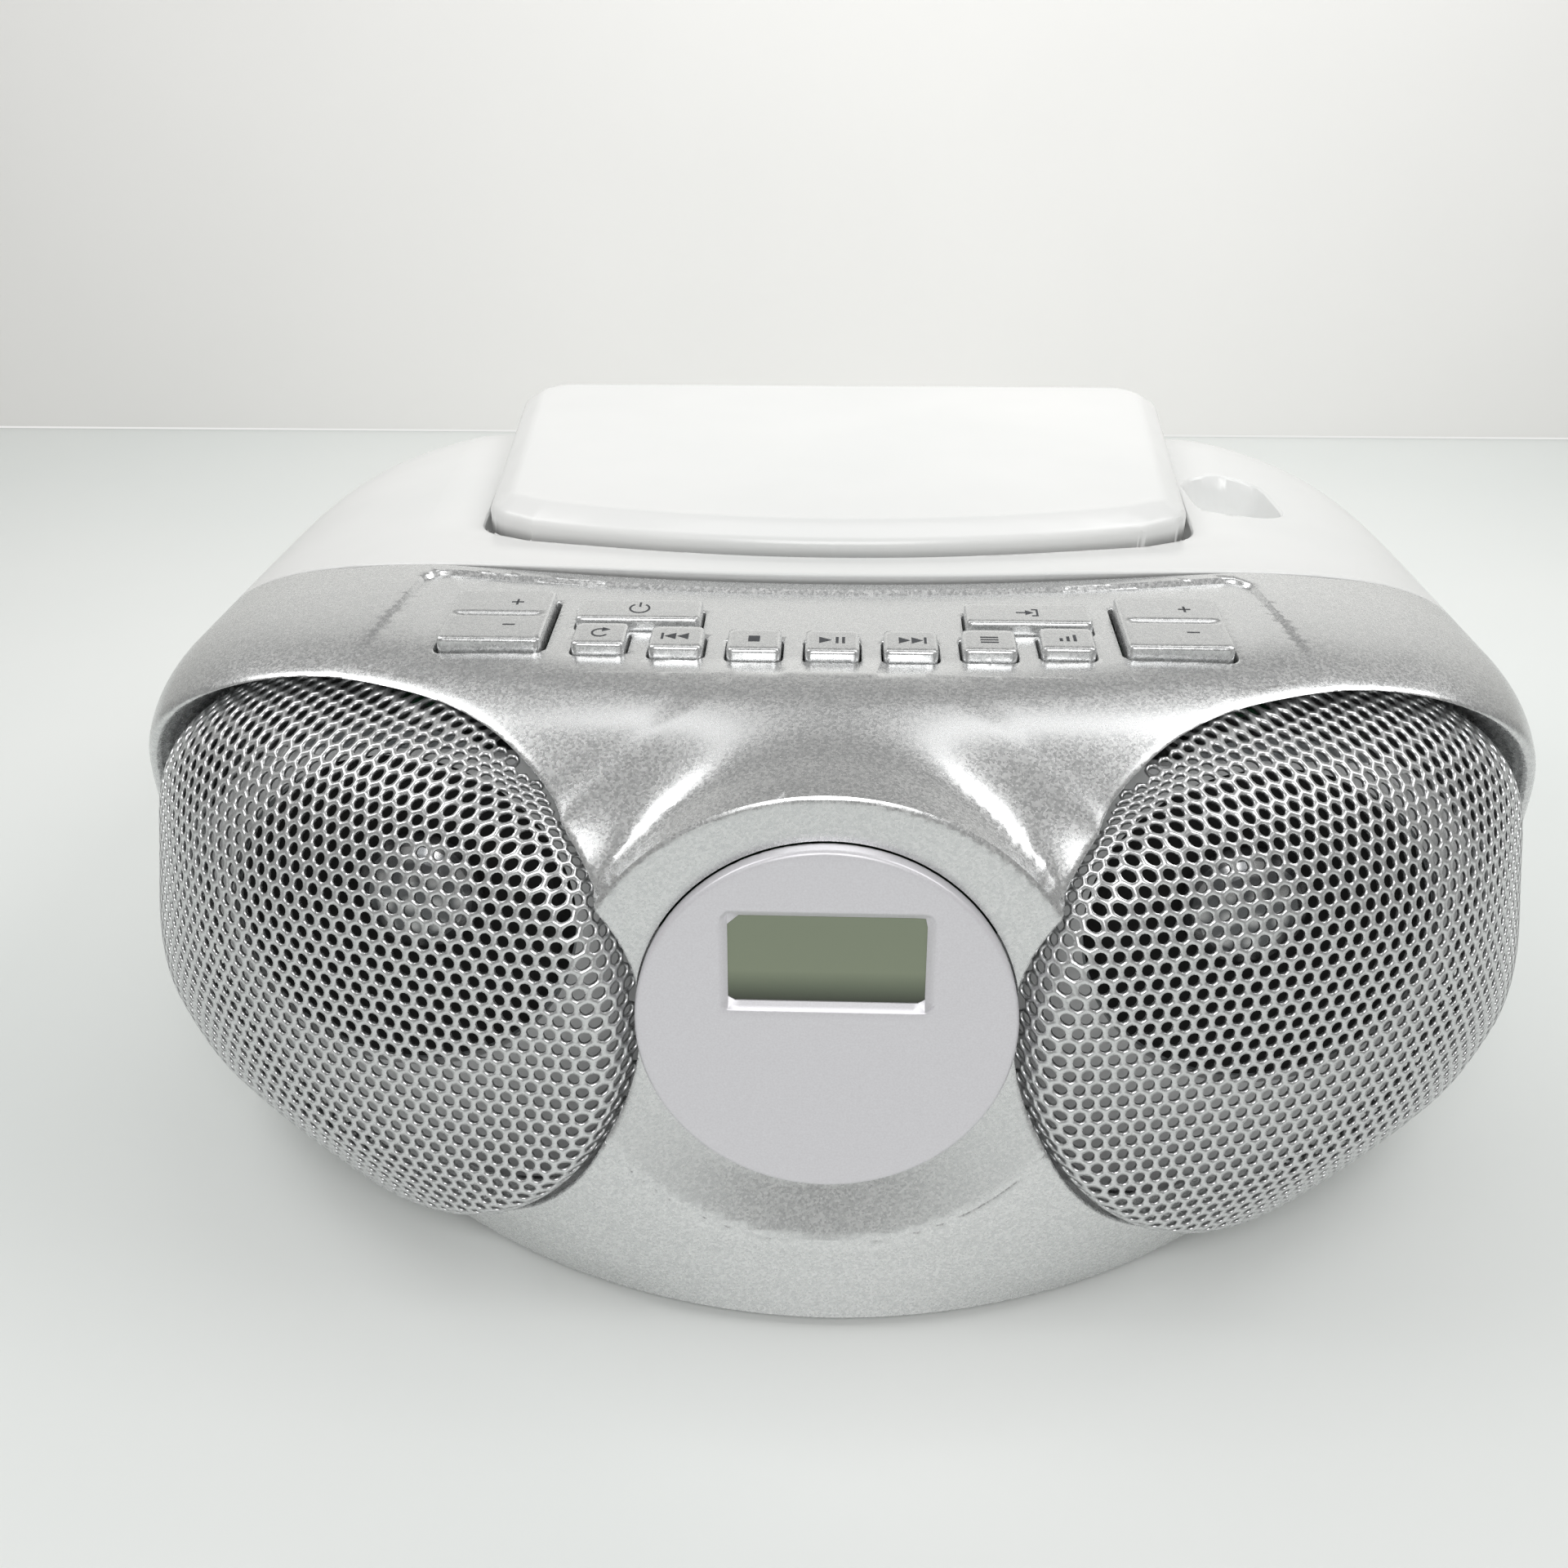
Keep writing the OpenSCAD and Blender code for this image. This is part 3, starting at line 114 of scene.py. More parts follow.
def nosePower(z):
    return form["chin"] + (form["front"] - form["chin"]) * np.clip(z / form["chinHeight"], 0.0, 1.0)


def insideForm(p, grow):
    # below zero inside the form, above zero outside
    z = np.minimum(p[:, 2], form["height"] + grow)
    ahead = p[:, 1] < form["widest"]
    power = np.where(ahead, nosePower(z), form["back"])
    reach = np.where(ahead, form["widest"] - noseY(z, grow), tailY(z, grow) - form["widest"])
    width = np.maximum(halfWidth(z, grow), 1e-3)
    value = np.power(np.abs(p[:, 0]) / width, power)
    value += np.power(np.abs(p[:, 1] - form["widest"]) / np.maximum(reach, 1e-3), power) - 1
    return np.where(p[:, 2] > form["height"] + grow, 1.0, value)


class Shell:
    # a triangle mesh that is cut along level lines of a field, then pushed, opened or walled
    def __init__(self, points, faces):
        self.points = np.array(points, dtype=float)
        self.faces = np.array(faces, dtype=int)
        self.marks = {}

    def split(self, values, level=0.0, mark=None, snap=0.015):
        s = values - level
        s[np.abs(s) < snap] = 0.0
        corner = s[self.faces]
        crossing = (corner.min(1) < 0) & (corner.max(1) > 0)
        if crossing.any():
            faces = self.faces[crossing]
            corner = corner[crossing]
            zero = (corner == 0).any(1)
            positive = (corner > 0).sum(1)
            odd = np.where(positive == 1, np.argmax(corner > 0, axis=1), np.argmax(corner < 0, axis=1))
            lone = np.where(zero, np.argmax(corner == 0, axis=1), odd)
            turned = np.stack([faces[np.arange(len(faces)), (lone + k) % 3] for k in range(3)], 1)
            withZero = turned[zero]
            without = turned[~zero]
            edges = np.concatenate([withZero[:, [1, 2]], without[:, [0, 1]], without[:, [0, 2]]])
            key = np.sort(edges, 1)
            unique, place = np.unique(key, axis=0, return_inverse=True)
            place = place.reshape(-1)
            a, b = unique[:, 0], unique[:, 1]
            t = s[a] / (s[a] - s[b])
            fresh = self.points[a] + (self.points[b] - self.points[a]) * t[:, None]
            start = len(self.points)
            self.points = np.concatenate([self.points, fresh])
            s = np.concatenate([s, np.zeros(len(fresh))])
            for name, flags in self.marks.items():
                self.marks[name] = np.concatenate([flags, flags[a] & flags[b]])
            new = start + place
            n0, n1 = len(withZero), len(without)
            m = new[:n0]
            p, q = new[n0:n0 + n1], new[n0 + n1:]
            pieces = [self.faces[~crossing],
                      np.stack([withZero[:, 0], withZero[:, 1], m], 1),
                      np.stack([withZero[:, 0], m, withZero[:, 2]], 1),
                      np.stack([without[:, 0], p, q], 1),
                      np.stack([p, without[:, 1], without[:, 2]], 1),
                      np.stack([p, without[:, 2], q], 1)]
            self.faces = np.concatenate(pieces)
        if mark:
            self.marks[mark] = self.marks.get(mark, np.zeros(len(s), bool)) | (s == 0)
        return s

    def side(self, s):
        return np.sign(s[self.faces].sum(1))

    def keep(self, chosen):
        self.faces = self.faces[chosen]
        used = np.zeros(len(self.points), bool)
        used[self.faces] = True
        order = np.cumsum(used) - 1
        self.points = self.points[used]
        self.faces = order[self.faces]
        self.marks = {name: flags[used] for name, flags in self.marks.items()}

    def score(self, field, levels, snap=0.015):
        # cuts along levels of the field and keeps both sides
        for level in levels:
            self.split(field(self.points), level, snap=snap)

    def trim(self, field, mark=None, above=True, level=0.0):
        # cuts at one level and keeps what lies above it, or below it
        side = self.side(self.split(field(self.points), level, mark))
        self.keep(side > 0 if above else side < 0)

    def normals(self):
        p = self.points[self.faces]
        n = np.cross(p[:, 1] - p[:, 0], p[:, 2] - p[:, 0])
        total = np.zeros_like(self.points)
        for k in range(3):
            np.add.at(total, self.faces[:, k], n)
        return total / np.maximum(np.linalg.norm(total, axis=1), 1e-12)[:, None]

    def rim(self, mark):
        # directed open edges whose two ends carry the mark
        edges = np.concatenate([self.faces[:, [0, 1]], self.faces[:, [1, 2]], self.faces[:, [2, 0]]])
        code = edges[:, 0].astype(np.int64) * (len(self.points) + 1) + edges[:, 1]
        back = edges[:, 1].astype(np.int64) * (len(self.points) + 1) + edges[:, 0]
        loose = ~np.isin(code, back)
        flags = self.marks[mark]
        return edges[loose & flags[edges[:, 0]] & flags[edges[:, 1]]]

    def addPoints(self, fresh):
        start = len(self.points)
        self.points = np.concatenate([self.points, fresh])
        blank = np.zeros(len(fresh), bool)
        self.marks = {name: np.concatenate([flags, blank]) for name, flags in self.marks.items()}
        return start

    def wall(self, mark, place):
        # hangs a strip from the marked rim to where place(points) puts each point
        edges = self.rim(mark)
        if not len(edges):
            return
        ends = np.unique(edges)
        start = self.addPoints(place(self.points[ends]))
        at = np.zeros(len(self.points), int)
        at[ends] = start + np.arange(len(ends))
        a, b = edges[:, 0], edges[:, 1]
        self.faces = np.concatenate([self.faces, np.stack([b, a, at[a]], 1), np.stack([b, at[a], at[b]], 1)])

    def drop(self, inside, push):
        # parts the inside faces along their border, pushes them and walls the step
        inner = np.zeros(len(self.points), bool)
        outer = np.zeros(len(self.points), bool)
        inner[self.faces[inside]] = True
        outer[self.faces[~inside]] = True
        shared = np.where(inner & outer)[0]
        moved = push(self.points)
        start = self.addPoints(self.points[shared] + moved[shared])
        at = np.arange(len(self.points))
        at[shared] = start + np.arange(len(shared))
        only = inner & ~outer
        self.points[:len(inner)][only] += moved[only]
        border = np.zeros(len(self.points), bool)
        border[shared] = True
        out = self.faces[~inside]
        edges = np.concatenate([out[:, [0, 1]], out[:, [1, 2]], out[:, [2, 0]]])
        edges = edges[border[edges].all(1)]
        ins = self.faces[inside]
        facing = np.concatenate([ins[:, [1, 0]], ins[:, [2, 1]], ins[:, [0, 2]]])
        size = len(self.points) + 1
        match = np.isin(edges[:, 0].astype(np.int64) * size + edges[:, 1],
                        facing[:, 0].astype(np.int64) * size + facing[:, 1])
        edges = edges[match]
        self.faces[inside] = at[self.faces[inside]]
        a, b = edges[:, 0], edges[:, 1]
        self.faces = np.concatenate([self.faces, np.stack([b, a, at[a]], 1), np.stack([b, at[a], at[b]], 1)])


def lipLevels(radius, steps=4):
    # distances from an edge at which its rounding is cut
    return [radius * (1 - math.cos(math.radians(90 * k / steps))) for k in range(steps, -1, -1)]


def lipSink(distance, radius):
    d = np.clip(distance, 0.0, radius)
    return radius - np.sqrt(np.maximum(0.0, radius * radius - (radius - d) ** 2))


def makePiece(name, points, faces, materials, angle=38.0, slots=None, weld=0.004):
    mesh = bpy.data.meshes.new(name)
    mesh.from_pydata((np.asarray(points) * mm).tolist(), [], [list(map(int, face)) for face in faces])
    if not isinstance(materials, (list, tuple)):
        materials = [materials]
    for material in materials:
        mesh.materials.append(material)
    if slots is not None:
        mesh.polygons.foreach_set("material_index", slots)
    work = bmesh.new()
    work.from_mesh(mesh)
    bmesh.ops.remove_doubles(work, verts=work.verts, dist=weld * mm)
    bmesh.ops.dissolve_degenerate(work, dist=0.001 * mm, edges=work.edges)
    work.to_mesh(mesh)
    work.free()
    mesh.polygons.foreach_set("use_smooth", [True] * len(mesh.polygons))
    mesh.set_sharp_from_angle(angle=math.radians(angle))
    piece = bpy.data.objects.new(name, mesh)
    scene.collection.objects.link(piece)
    return piece


def giveThickness(piece, thickness):
    solid = piece.modifiers.new("Wall", "SOLIDIFY")
    solid.thickness = thickness * mm
    solid.offset = -1
    solid.use_even_offset = False
    return piece


def boxDistance(x, y, halfX, halfY, corner):
    # distance to a rounded rectangle, below zero inside
    dx = np.abs(x) - halfX + corner
    dy = np.abs(y) - halfY + corner
    outside = np.hypot(np.maximum(dx, 0), np.maximum(dy, 0))
    return outside + np.minimum(np.maximum(dx, dy), 0) - corner


def outlineDistance(points, outline):
    # distance to a closed outline in plan, below zero inside
    best = np.full(len(points), 1e9)
    winding = np.zeros(len(points), int)
    ends = np.roll(outline, -1, axis=0)
    for a, b in zip(outline, ends):
        along = b - a
        gap = points - a
        t = np.clip(gap @ along / max(along @ along, 1e-12), 0, 1)
        best = np.minimum(best, np.hypot(*(gap - t[:, None] * along).T))
        crosses = (a[1] > points[:, 1]) != (b[1] > points[:, 1])
        at = a[0] + (points[:, 1] - a[1]) * along[0] / (along[1] if abs(along[1]) > 1e-12 else 1e-12)
        winding += crosses & (points[:, 0] < at)
    return np.where(winding % 2 == 1, -best, best)


# materials
def linear(hexText):
    parts = [int(hexText[i:i + 2], 16) / 255 for i in (0, 2, 4)]
    return tuple(c / 12.92 if c <= 0.04045 else ((c + 0.055) / 1.055) ** 2.4 for c in parts) + (1.0,)


def addNode(tree, kind, settings=None, values=None, links=None):
    node = tree.nodes.new(kind)
    for key, value in (settings or {}).items():
        setattr(node, key, value)
    for key, value in (values or {}).items():
        node.inputs[key].default_value = value
    for key, source in (links or {}).items():
        tree.links.new(source, node.inputs[key])
    return node


def newMaterial(name, **shaderValues):
    material = bpy.data.materials.new(name)
    material.use_nodes = True
    tree = material.node_tree
    tree.nodes.clear()
    shader = addNode(tree, "ShaderNodeBsdfPrincipled", values=shaderValues)
    addNode(tree, "ShaderNodeOutputMaterial", links={"Surface": shader.outputs[0]})
    place = addNode(tree, "ShaderNodeTexCoord").outputs["Object"]
    return material, tree, shader, place


def perMillimetre(size):
    # a pattern's scale for one repeat in each so many millimetres
    return 1000.0 / size


def noise(tree, place, grain, detail=2.0, rough=0.5):
    # grain is the real size of one blot in millimetres
    node = addNode(tree, "ShaderNodeTexNoise", links={"Vector": place},
                   values={"Scale": perMillimetre(grain), "Detail": detail, "Roughness": rough})
    return node.outputs["Fac"]


def ramp(tree, factor, stops):
    node = addNode(tree, "ShaderNodeValToRGB", links={"Fac": factor})
    marks = node.color_ramp.elements
    while len(marks) < len(stops):
        marks.new(0.5)
    for mark, (at, colour) in zip(marks, stops):
        mark.position = at
        mark.color = linear(colour) if isinstance(colour, str) else (colour, colour, colour, 1)
    return node.outputs["Color"]


def bump(tree, shader, height, depth, strength=1.0):
    # depth is the height of the relief in millimetres
    node = addNode(tree, "ShaderNodeBump", values={"Strength": strength, "Distance": depth * mm},
                   links={"Height": height})
    tree.links.new(node.outputs[0], shader.inputs["Normal"])


def mottled(name, dark, light, grain, roughLow, roughHigh, relief=0.0, reliefGrain=0.4, **values):
    # plain moulded stuff: slow colour drift, uneven gloss and a fine skin
    material, tree, shader, place = newMaterial(name, **values)
    slow = noise(tree, place, grain, 3.0)
    tree.links.new(ramp(tree, slow, [(0.3, dark), (0.7, light)]), shader.inputs["Base Color"])
    tree.links.new(ramp(tree, slow, [(0.3, roughLow), (0.7, roughHigh)]), shader.inputs["Roughness"])
    if relief:
        bump(tree, shader, noise(tree, place, reliefGrain, 2.0), relief, 0.6)
    return material


def flakeSilverAbs():
    # moulded ABS under silver lacquer: aluminium flakes give a fine sparkling grain
    material, tree, shader, place = newMaterial("flakeSilverAbs", Metallic=0.85)
    flake = 0.4  # real flakes are finer, this is as coarse as they need to be to show
    flakes = addNode(tree, "ShaderNodeTexVoronoi", values={"Scale": perMillimetre(flake)},
                     links={"Vector": place})
    tone = addNode(tree, "ShaderNodeSeparateColor", links={"Color": flakes.outputs["Color"]}).outputs[0]
    slow = noise(tree, place, 60.0, 2.0)
    drift = addNode(tree, "ShaderNodeMath", {"operation": "MULTIPLY"}, {1: 0.25}, {0: slow}).outputs[0]
    mixed = addNode(tree, "ShaderNodeMath", {"operation": "MULTIPLY_ADD"}, {1: 0.75}, {0: tone, 2: drift})
    tree.links.new(ramp(tree, mixed.outputs[0], [(0.0, "CCCDCE"), (0.55, "DDDEDE"), (1.0, "EBEBEB")]),
                   shader.inputs["Base Color"])
    tree.links.new(ramp(tree, tone, [(0.0, 0.22), (1.0, 0.32)]), shader.inputs["Roughness"])
    bump(tree, shader, tone, 0.0055, 0.5)
    return material


def glossWhiteAbs():
    # polished moulded ABS: neutral white, wide soft highlights, hardly any grain
    return mottled("glossWhiteAbs", "DEDFDE", "E5E5E4", 80.0, 0.20, 0.27, 0.0015, 1.2)


def pearlLacquer():
    # pearl lacquer on a flat moulded disc: pale, faintly lilac, satin
    material, tree, shader, place = newMaterial("pearlLacquer", Metallic=0.25)
    fine = noise(tree, place, 0.35, 2.0)
    tree.links.new(ramp(tree, fine, [(0.25, "D7D5D9"), (0.75, "E1E0E4")]), shader.inputs["Base Color"])
    tree.links.new(ramp(tree, fine, [(0.3, 0.30), (0.7, 0.38)]), shader.inputs["Roughness"])
    bump(tree, shader, fine, 0.006, 0.4)
    return material


def lacqueredSteel():
    # punched steel sheet under silver lacquer: bright metal with softened highlights
    material, tree, shader, place = newMaterial("lacqueredSteel", Metallic=0.9)
    fine = noise(tree, place, 0.5, 2.0)
    tree.links.new(ramp(tree, fine, [(0.3, "D2D3D4"), (0.7, "E2E3E3")]), shader.inputs["Base Color"])
    tree.links.new(ramp(tree, fine, [(0.3, 0.26), (0.7, 0.36)]), shader.inputs["Roughness"])
    bump(tree, shader, fine, 0.008, 0.5)
    return material


def lcdGlass():
    # polarised display under a clear plate: olive, with a dark band of shade at its foot
    material, tree, shader, place = newMaterial("lcdGlass", Roughness=0.12)
    height = addNode(tree, "ShaderNodeSeparateXYZ", links={"Vector": place}).outputs["Z"]
    low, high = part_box("lcd_window")
    span = addNode(tree, "ShaderNodeMapRange", values={"From Min": low[2], "From Max": high[2]},
                   links={"Value": height}).outputs[0]
    shades = [(0.0, "383D31"), (0.16, "626B59"), (0.36, "848D77"), (1.0, "828B76")]
    tree.links.new(ramp(tree, span, shades), shader.inputs["Base Color"])
    return material


def brushedChrome():
    # drawn and plated brass tube: mirror bright with faint lines along its length
    material, tree, shader, place = newMaterial("chromedTube", Metallic=1.0)
    lines = addNode(tree, "ShaderNodeMapping", values={"Scale": (0.02, 1.0, 1.0)},
                    links={"Vector": place}).outputs[0]
    fine = noise(tree, lines, 0.25, 2.0)
    tree.links.new(ramp(tree, fine, [(0.3, "C9CBCD"), (0.7, "DADCDD")]), shader.inputs["Base Color"])
    tree.links.new(ramp(tree, fine, [(0.3, 0.10), (0.7, 0.20)]), shader.inputs["Roughness"])
    return material


def wovenCap():
    # dust cap of metallised cloth: bright, with a square weave, drawn far coarser than the real one
    material, tree, shader, place = newMaterial("metallisedCloth", Metallic=0.8, Roughness=0.22)
    waveScale = 62.5  # 5 mm from wave to wave, since this texture repeats every 2 pi / 20 of its scale
    weft, warp = (addNode(tree, "ShaderNodeTexWave", {"bands_direction": axis},
                          {"Scale": waveScale, "Distortion": 0.0},
                          {"Vector": place}).outputs["Fac"] for axis in ("X", "Z"))
    weave = addNode(tree, "ShaderNodeMath", {"operation": "MULTIPLY"}, links={0: weft, 1: warp}).outputs[0]
    tree.links.new(ramp(tree, weave, [(0.1, "8C8E90"), (0.8, "F4F4F4")]), shader.inputs["Base Color"])
    bump(tree, shader, weave, 0.08, 0.7)
    return material


stuff = {
    "silver": flakeSilverAbs(),
    "white": glossWhiteAbs(),
    "pearl": pearlLacquer(),
    "grille": lacqueredSteel(),
    "lcd": lcdGlass(),
    "chrome": brushedChrome(),
    "cap": wovenCap(),
    # satin moulded ABS behind the grilles: soft sheen; its grey is painted lighter than the part's own, as
    # painted light to make up for the shade behind the grilles
    "grey": mottled("satinGreyAbsPaintedLight", "E4E5E5", "EDEEEE", 40.0, 0.45, 0.55, 0.004),
    # pressed paper cone: dull black with a fibrous skin
    "paper": mottled("pressedPaper", "101010", "1C1C1B", 3.0, 0.75, 0.9, 0.03, 0.5),
    # stamped zinc-plated steel: grey metal with a cloudy spangle
    "steel": mottled("platedSteel", "8E9193", "A6A9AB", 4.0, 0.32, 0.45, 0.003, 0.5, Metallic=1.0),
    # sintered ferrite: dark, chalky
    "ferrite": mottled("sinteredFerrite", "2A2B2D", "38393A", 1.5, 0.6, 0.75, 0.01),
    # ground steel pins: clean bright metal
    "pin": mottled("groundSteel", "B4B6B8", "C4C6C8", 6.0, 0.2, 0.3, 0.002, 0.3, Metallic=1.0),
    # moulded black ABS: fine matt grain
    "black": mottled("mattBlackAbs", "141415", "1D1D1E", 10.0, 0.42, 0.55, 0.01, 0.3),
    # moulded rubber: dull, dusty dark grey
    "rubber": mottled("mouldedRubber", "1E1E1F", "2A2A2A", 6.0, 0.75, 0.88, 0.02, 0.4),
    # glass-epoxy board under solder mask: dull green gloss
    "board": mottled("solderMask", "1F4A30", "275A3A", 2.5, 0.3, 0.42, 0.01, 0.6),
    # plated spring brass: warm bright metal
    "brass": mottled("springBrass", "B08D45", "C5A258", 5.0, 0.24, 0.34, 0.002, 0.4, Metallic=1.0),
    # pad-printed ink on the keys: flat dark grey
    "ink": mottled("padInk", "3A3C40", "45474B", 3.0, 0.5, 0.6),
    # bare moulded pocket of the disc well: satin light grey
    "well": mottled("satinWellAbs", "C9CBCC", "D4D6D7", 50.0, 0.36, 0.46, 0.004),
}
print("materials made")


# the outer form that the skins are cut from
grid = {"around": 432, "upper": 104, "lower": 30, "floor": 10, "crown": 16}


def formShell():
    angles = np.linspace(0, 2 * math.pi, grid["around"], endpoint=False)
    turn = np.linspace(0, math.pi / 2, grid["upper"] + 1)
    power = form["sideUp"]
    reach = np.power(np.cos(turn) ** power + np.sin(turn) ** power, -1 / power)
    share = np.minimum(reach * np.sin(turn), 1.0)
    upper = form["waist"] + (form["height"] - form["waist"]) * share[share < 0.9975]
    lower = np.linspace(form["base"], form["waist"], grid["lower"] + 1)[:-1]
    rings = []
    for z in np.concatenate([lower, upper]):
        front = np.sin(angles) < 0
        power = np.where(front, nosePower(z), form["back"])
        c, s = np.abs(np.cos(angles)), np.abs(np.sin(angles))
        radius = np.power(np.power(c, power) + np.power(s, power), -1 / power)
        x = halfWidth(np.float64(z)) * radius * np.cos(angles)
        ahead = form["widest"] - noseY(z)
        behind = tailY(z) - form["widest"]
        y = form["widest"] + np.where(front, ahead, behind) * radius * np.sin(angles)
        rings.append(np.stack([x, y, np.full_like(x, z)], 1))
    rings[0][:, 1] = np.minimum(rings[0][:, 1], backY)
    centre = np.array([0.0, form["widest"] + 20, form["base"]])
    floor = []
    for share in np.linspace(0.03, 1.0, grid["floor"] + 1)[:-1]:
        floor.append(centre + (rings[0] - centre) * share)
    crownCentre = np.array([0.0, 30.0, form["height"]])
    crown = []
    for share in np.linspace(1.0, 0.02, grid["crown"] + 1)[1:]:
        ring = crownCentre + (rings[-1] - crownCentre) * share
        lift = math.sin(math.pi / 2 * (1 - share))
        ring[:, 2] = rings[-1][:, 2] + (form["height"] - rings[-1][:, 2]) * lift
        crown.append(ring)
    rings = floor + rings + crown
    n = grid["around"]
    i, j = np.meshgrid(np.arange(len(rings) - 1), np.arange(n), indexing="ij")
    a = (i * n + j).ravel()
    b = (i * n + (j + 1) % n).ravel()
    faces = np.concatenate([np.stack([a, b, b + n], 1), np.stack([a, b + n, a + n], 1)])
    hub = len(rings) * n
    around = np.arange(n)
    lowFan = np.stack([np.full(n, hub), (around + 1) % n, around], 1)
    highFan = np.stack([np.full(n, hub + 1), hub - n + around, hub - n + (around + 1) % n], 1)
    points = np.concatenate(rings + [centre[None], crownCentre[None]])
    shell = Shell(points, np.concatenate([faces, lowFan, highFan]))
    # the back is cut flat, and the crown falls away towards it
    shell.split(shell.points[:, 1] - backY)
    p = shell.points
    p[:, 1] = np.minimum(p[:, 1], backY)
    p[:, 2] -= crownFall(p[:, 1], p[:, 2])
    return shell


def seamDistance(p):
    # above zero ahead of the curved seam between the silver front and the white body
    return np.hypot(p[:, 0], p[:, 1] - form["seamY"] - form["seamRadius"]) - form["seamRadius"]


seam = {"gap": 0.35, "lip": 0.5, "deep": 2.6, "waistGap": 0.15, "whiteDeep": 3, "waistDeep": 2.5}


def openSeam(shell, field, mark):
    # keeps field > 0 and rounds that edge
    shell.score(field, lipLevels(seam["lip"], 3)[:-1])
    shell.trim(field, mark)
    distance = field(shell.points)
    shell.points -= shell.normals() * lipSink(np.minimum(distance, seam["lip"]), seam["lip"])[:, None]


def seamInward(p):
    # where the edge of a white skin turns in at the silver front
    return p + np.stack([-p[:, 0] / 180, -(p[:, 1] - 60) / 300, (50 - p[:, 2]) / 80], 1) * seam["whiteDeep"]


def waistInward(p):
    # where it turns in between deck and cabinet
    return p + np.stack([-p[:, 0] / 150, -(p[:, 1] - 20) / 120, np.zeros(len(p))], 1) * seam["waistDeep"]


elsewhere = 30.0  # the distance that a field gives where it doesn't apply

# the silver front
panel = {"front": 53.0, "drop": 4.2, "slope": 2.9, "width": 172.0, "flare": 0.16, "depth": 42.0, "step": 1.0,
         "corner": 5.0, "ramp": 0.9, "border": 2.6, "wall": 3.0}
panelOrigin = np.array([0.0, frontY + panel["front"], form["height"] - panel["drop"]])
panelTilt = math.radians(panel["slope"])
panelBack = np.array([0.0, math.cos(panelTilt), math.sin(panelTilt)])
panelUp = np.array([0.0, -math.sin(panelTilt), math.cos(panelTilt)])

pods = {"yaw": 35.0, "u": 27.0, "v": 58.0, "inner": 65.0, "outer": 62.0, "high": 50.0, "power": 2.35,
        "lipIn": 1.2, "lipOut": 3.6, "wall": 9.0}
podAcross = np.array([math.cos(math.radians(pods["yaw"])), math.sin(math.radians(pods["yaw"])), 0.0])
podOut = np.array([math.sin(math.radians(pods["yaw"])), -math.cos(math.radians(pods["yaw"])), 0.0])

display = {"z": 65.6, "y": 8.7, "disc": 33.4, "hole": 33.75, "proud": 0.8, "crestX": 47.0, "crestUp": 44.0,
           "crestDrop": 2.2, "crestHeight": -0.83, "crestTilt": 0.0399, "crestMean": 45.0, "crestSoft": 0.35,
           "bandInner": -2.6, "behind": -42, "span": 62, "wall": 3.0,
           "slopeTop": 4.2, "slopeLow": 0.12, "slopeBend": 0.006, "reach": (48.0, 61.0), "foot": (2.5, 7.0)}
displayCentre = np.array([0.0, frontY + display["y"], display["z"]])
displayUp = np.array([0.0, math.sin(lean), math.cos(lean)])
displayOut = np.array([0.0, -math.cos(lean), math.sin(lean)])


def podDistance(p):
    # the outlines of both pods, seen along each pod's own axis
    x = np.abs(p[:, 0])
    u = x * podAcross[0] + p[:, 1] * podAcross[1] - pods["u"]
    w = x * podOut[0] + p[:, 1] * podOut[1]
    v = p[:, 2] - pods["v"]
    return np.where(w > 55, outlineSpan(u, v), 2 * elsewhere)


def outlineSpan(u, v):
    # distance to the pod's outline across its axis, below zero inside
    n = pods["power"]
    wide = np.where(u < 0, pods["inner"], pods["outer"])
    a, b = np.abs(u) / wide, np.abs(v) / pods["high"]
    q = np.power(np.power(a, n) + np.power(b, n), 1 / n)
    q = np.maximum(q, 0.02)
    slope = np.hypot(np.power(a, n - 1) / wide, np.power(b, n - 1) / pods["high"]) * np.power(q, 1 - n)
    return (q - 1) / np.maximum(slope, 1e-4)


def podLip(p):
    # how wide the opening's rounded lip is, widest towards the sides
    x = np.abs(p[:, 0])
    u = x * podAcross[0] + p[:, 1] * podAcross[1] - pods["u"]
    return pods["lipIn"] + (pods["lipOut"] - pods["lipIn"]) * smoothStep(0.45, 0.95, u / pods["outer"])


def podInward(p):
    # the direction into each pod
    return -podOut * np.stack([np.where(p[:, 0] < 0, -1.0, 1.0), np.ones(len(p)), np.ones(len(p))], 1)


def displayPlace(p):
    # across, up and out from the disc's centre
    gap = p - displayCentre
    return p[:, 0], gap @ displayUp, gap @ displayOut


def crestShare(x, up):
    return np.hypot(x / display["crestX"], (up + display["crestDrop"]) / display["crestUp"])


def crestHeight(up):
    return display["crestHeight"] - display["crestTilt"] * up


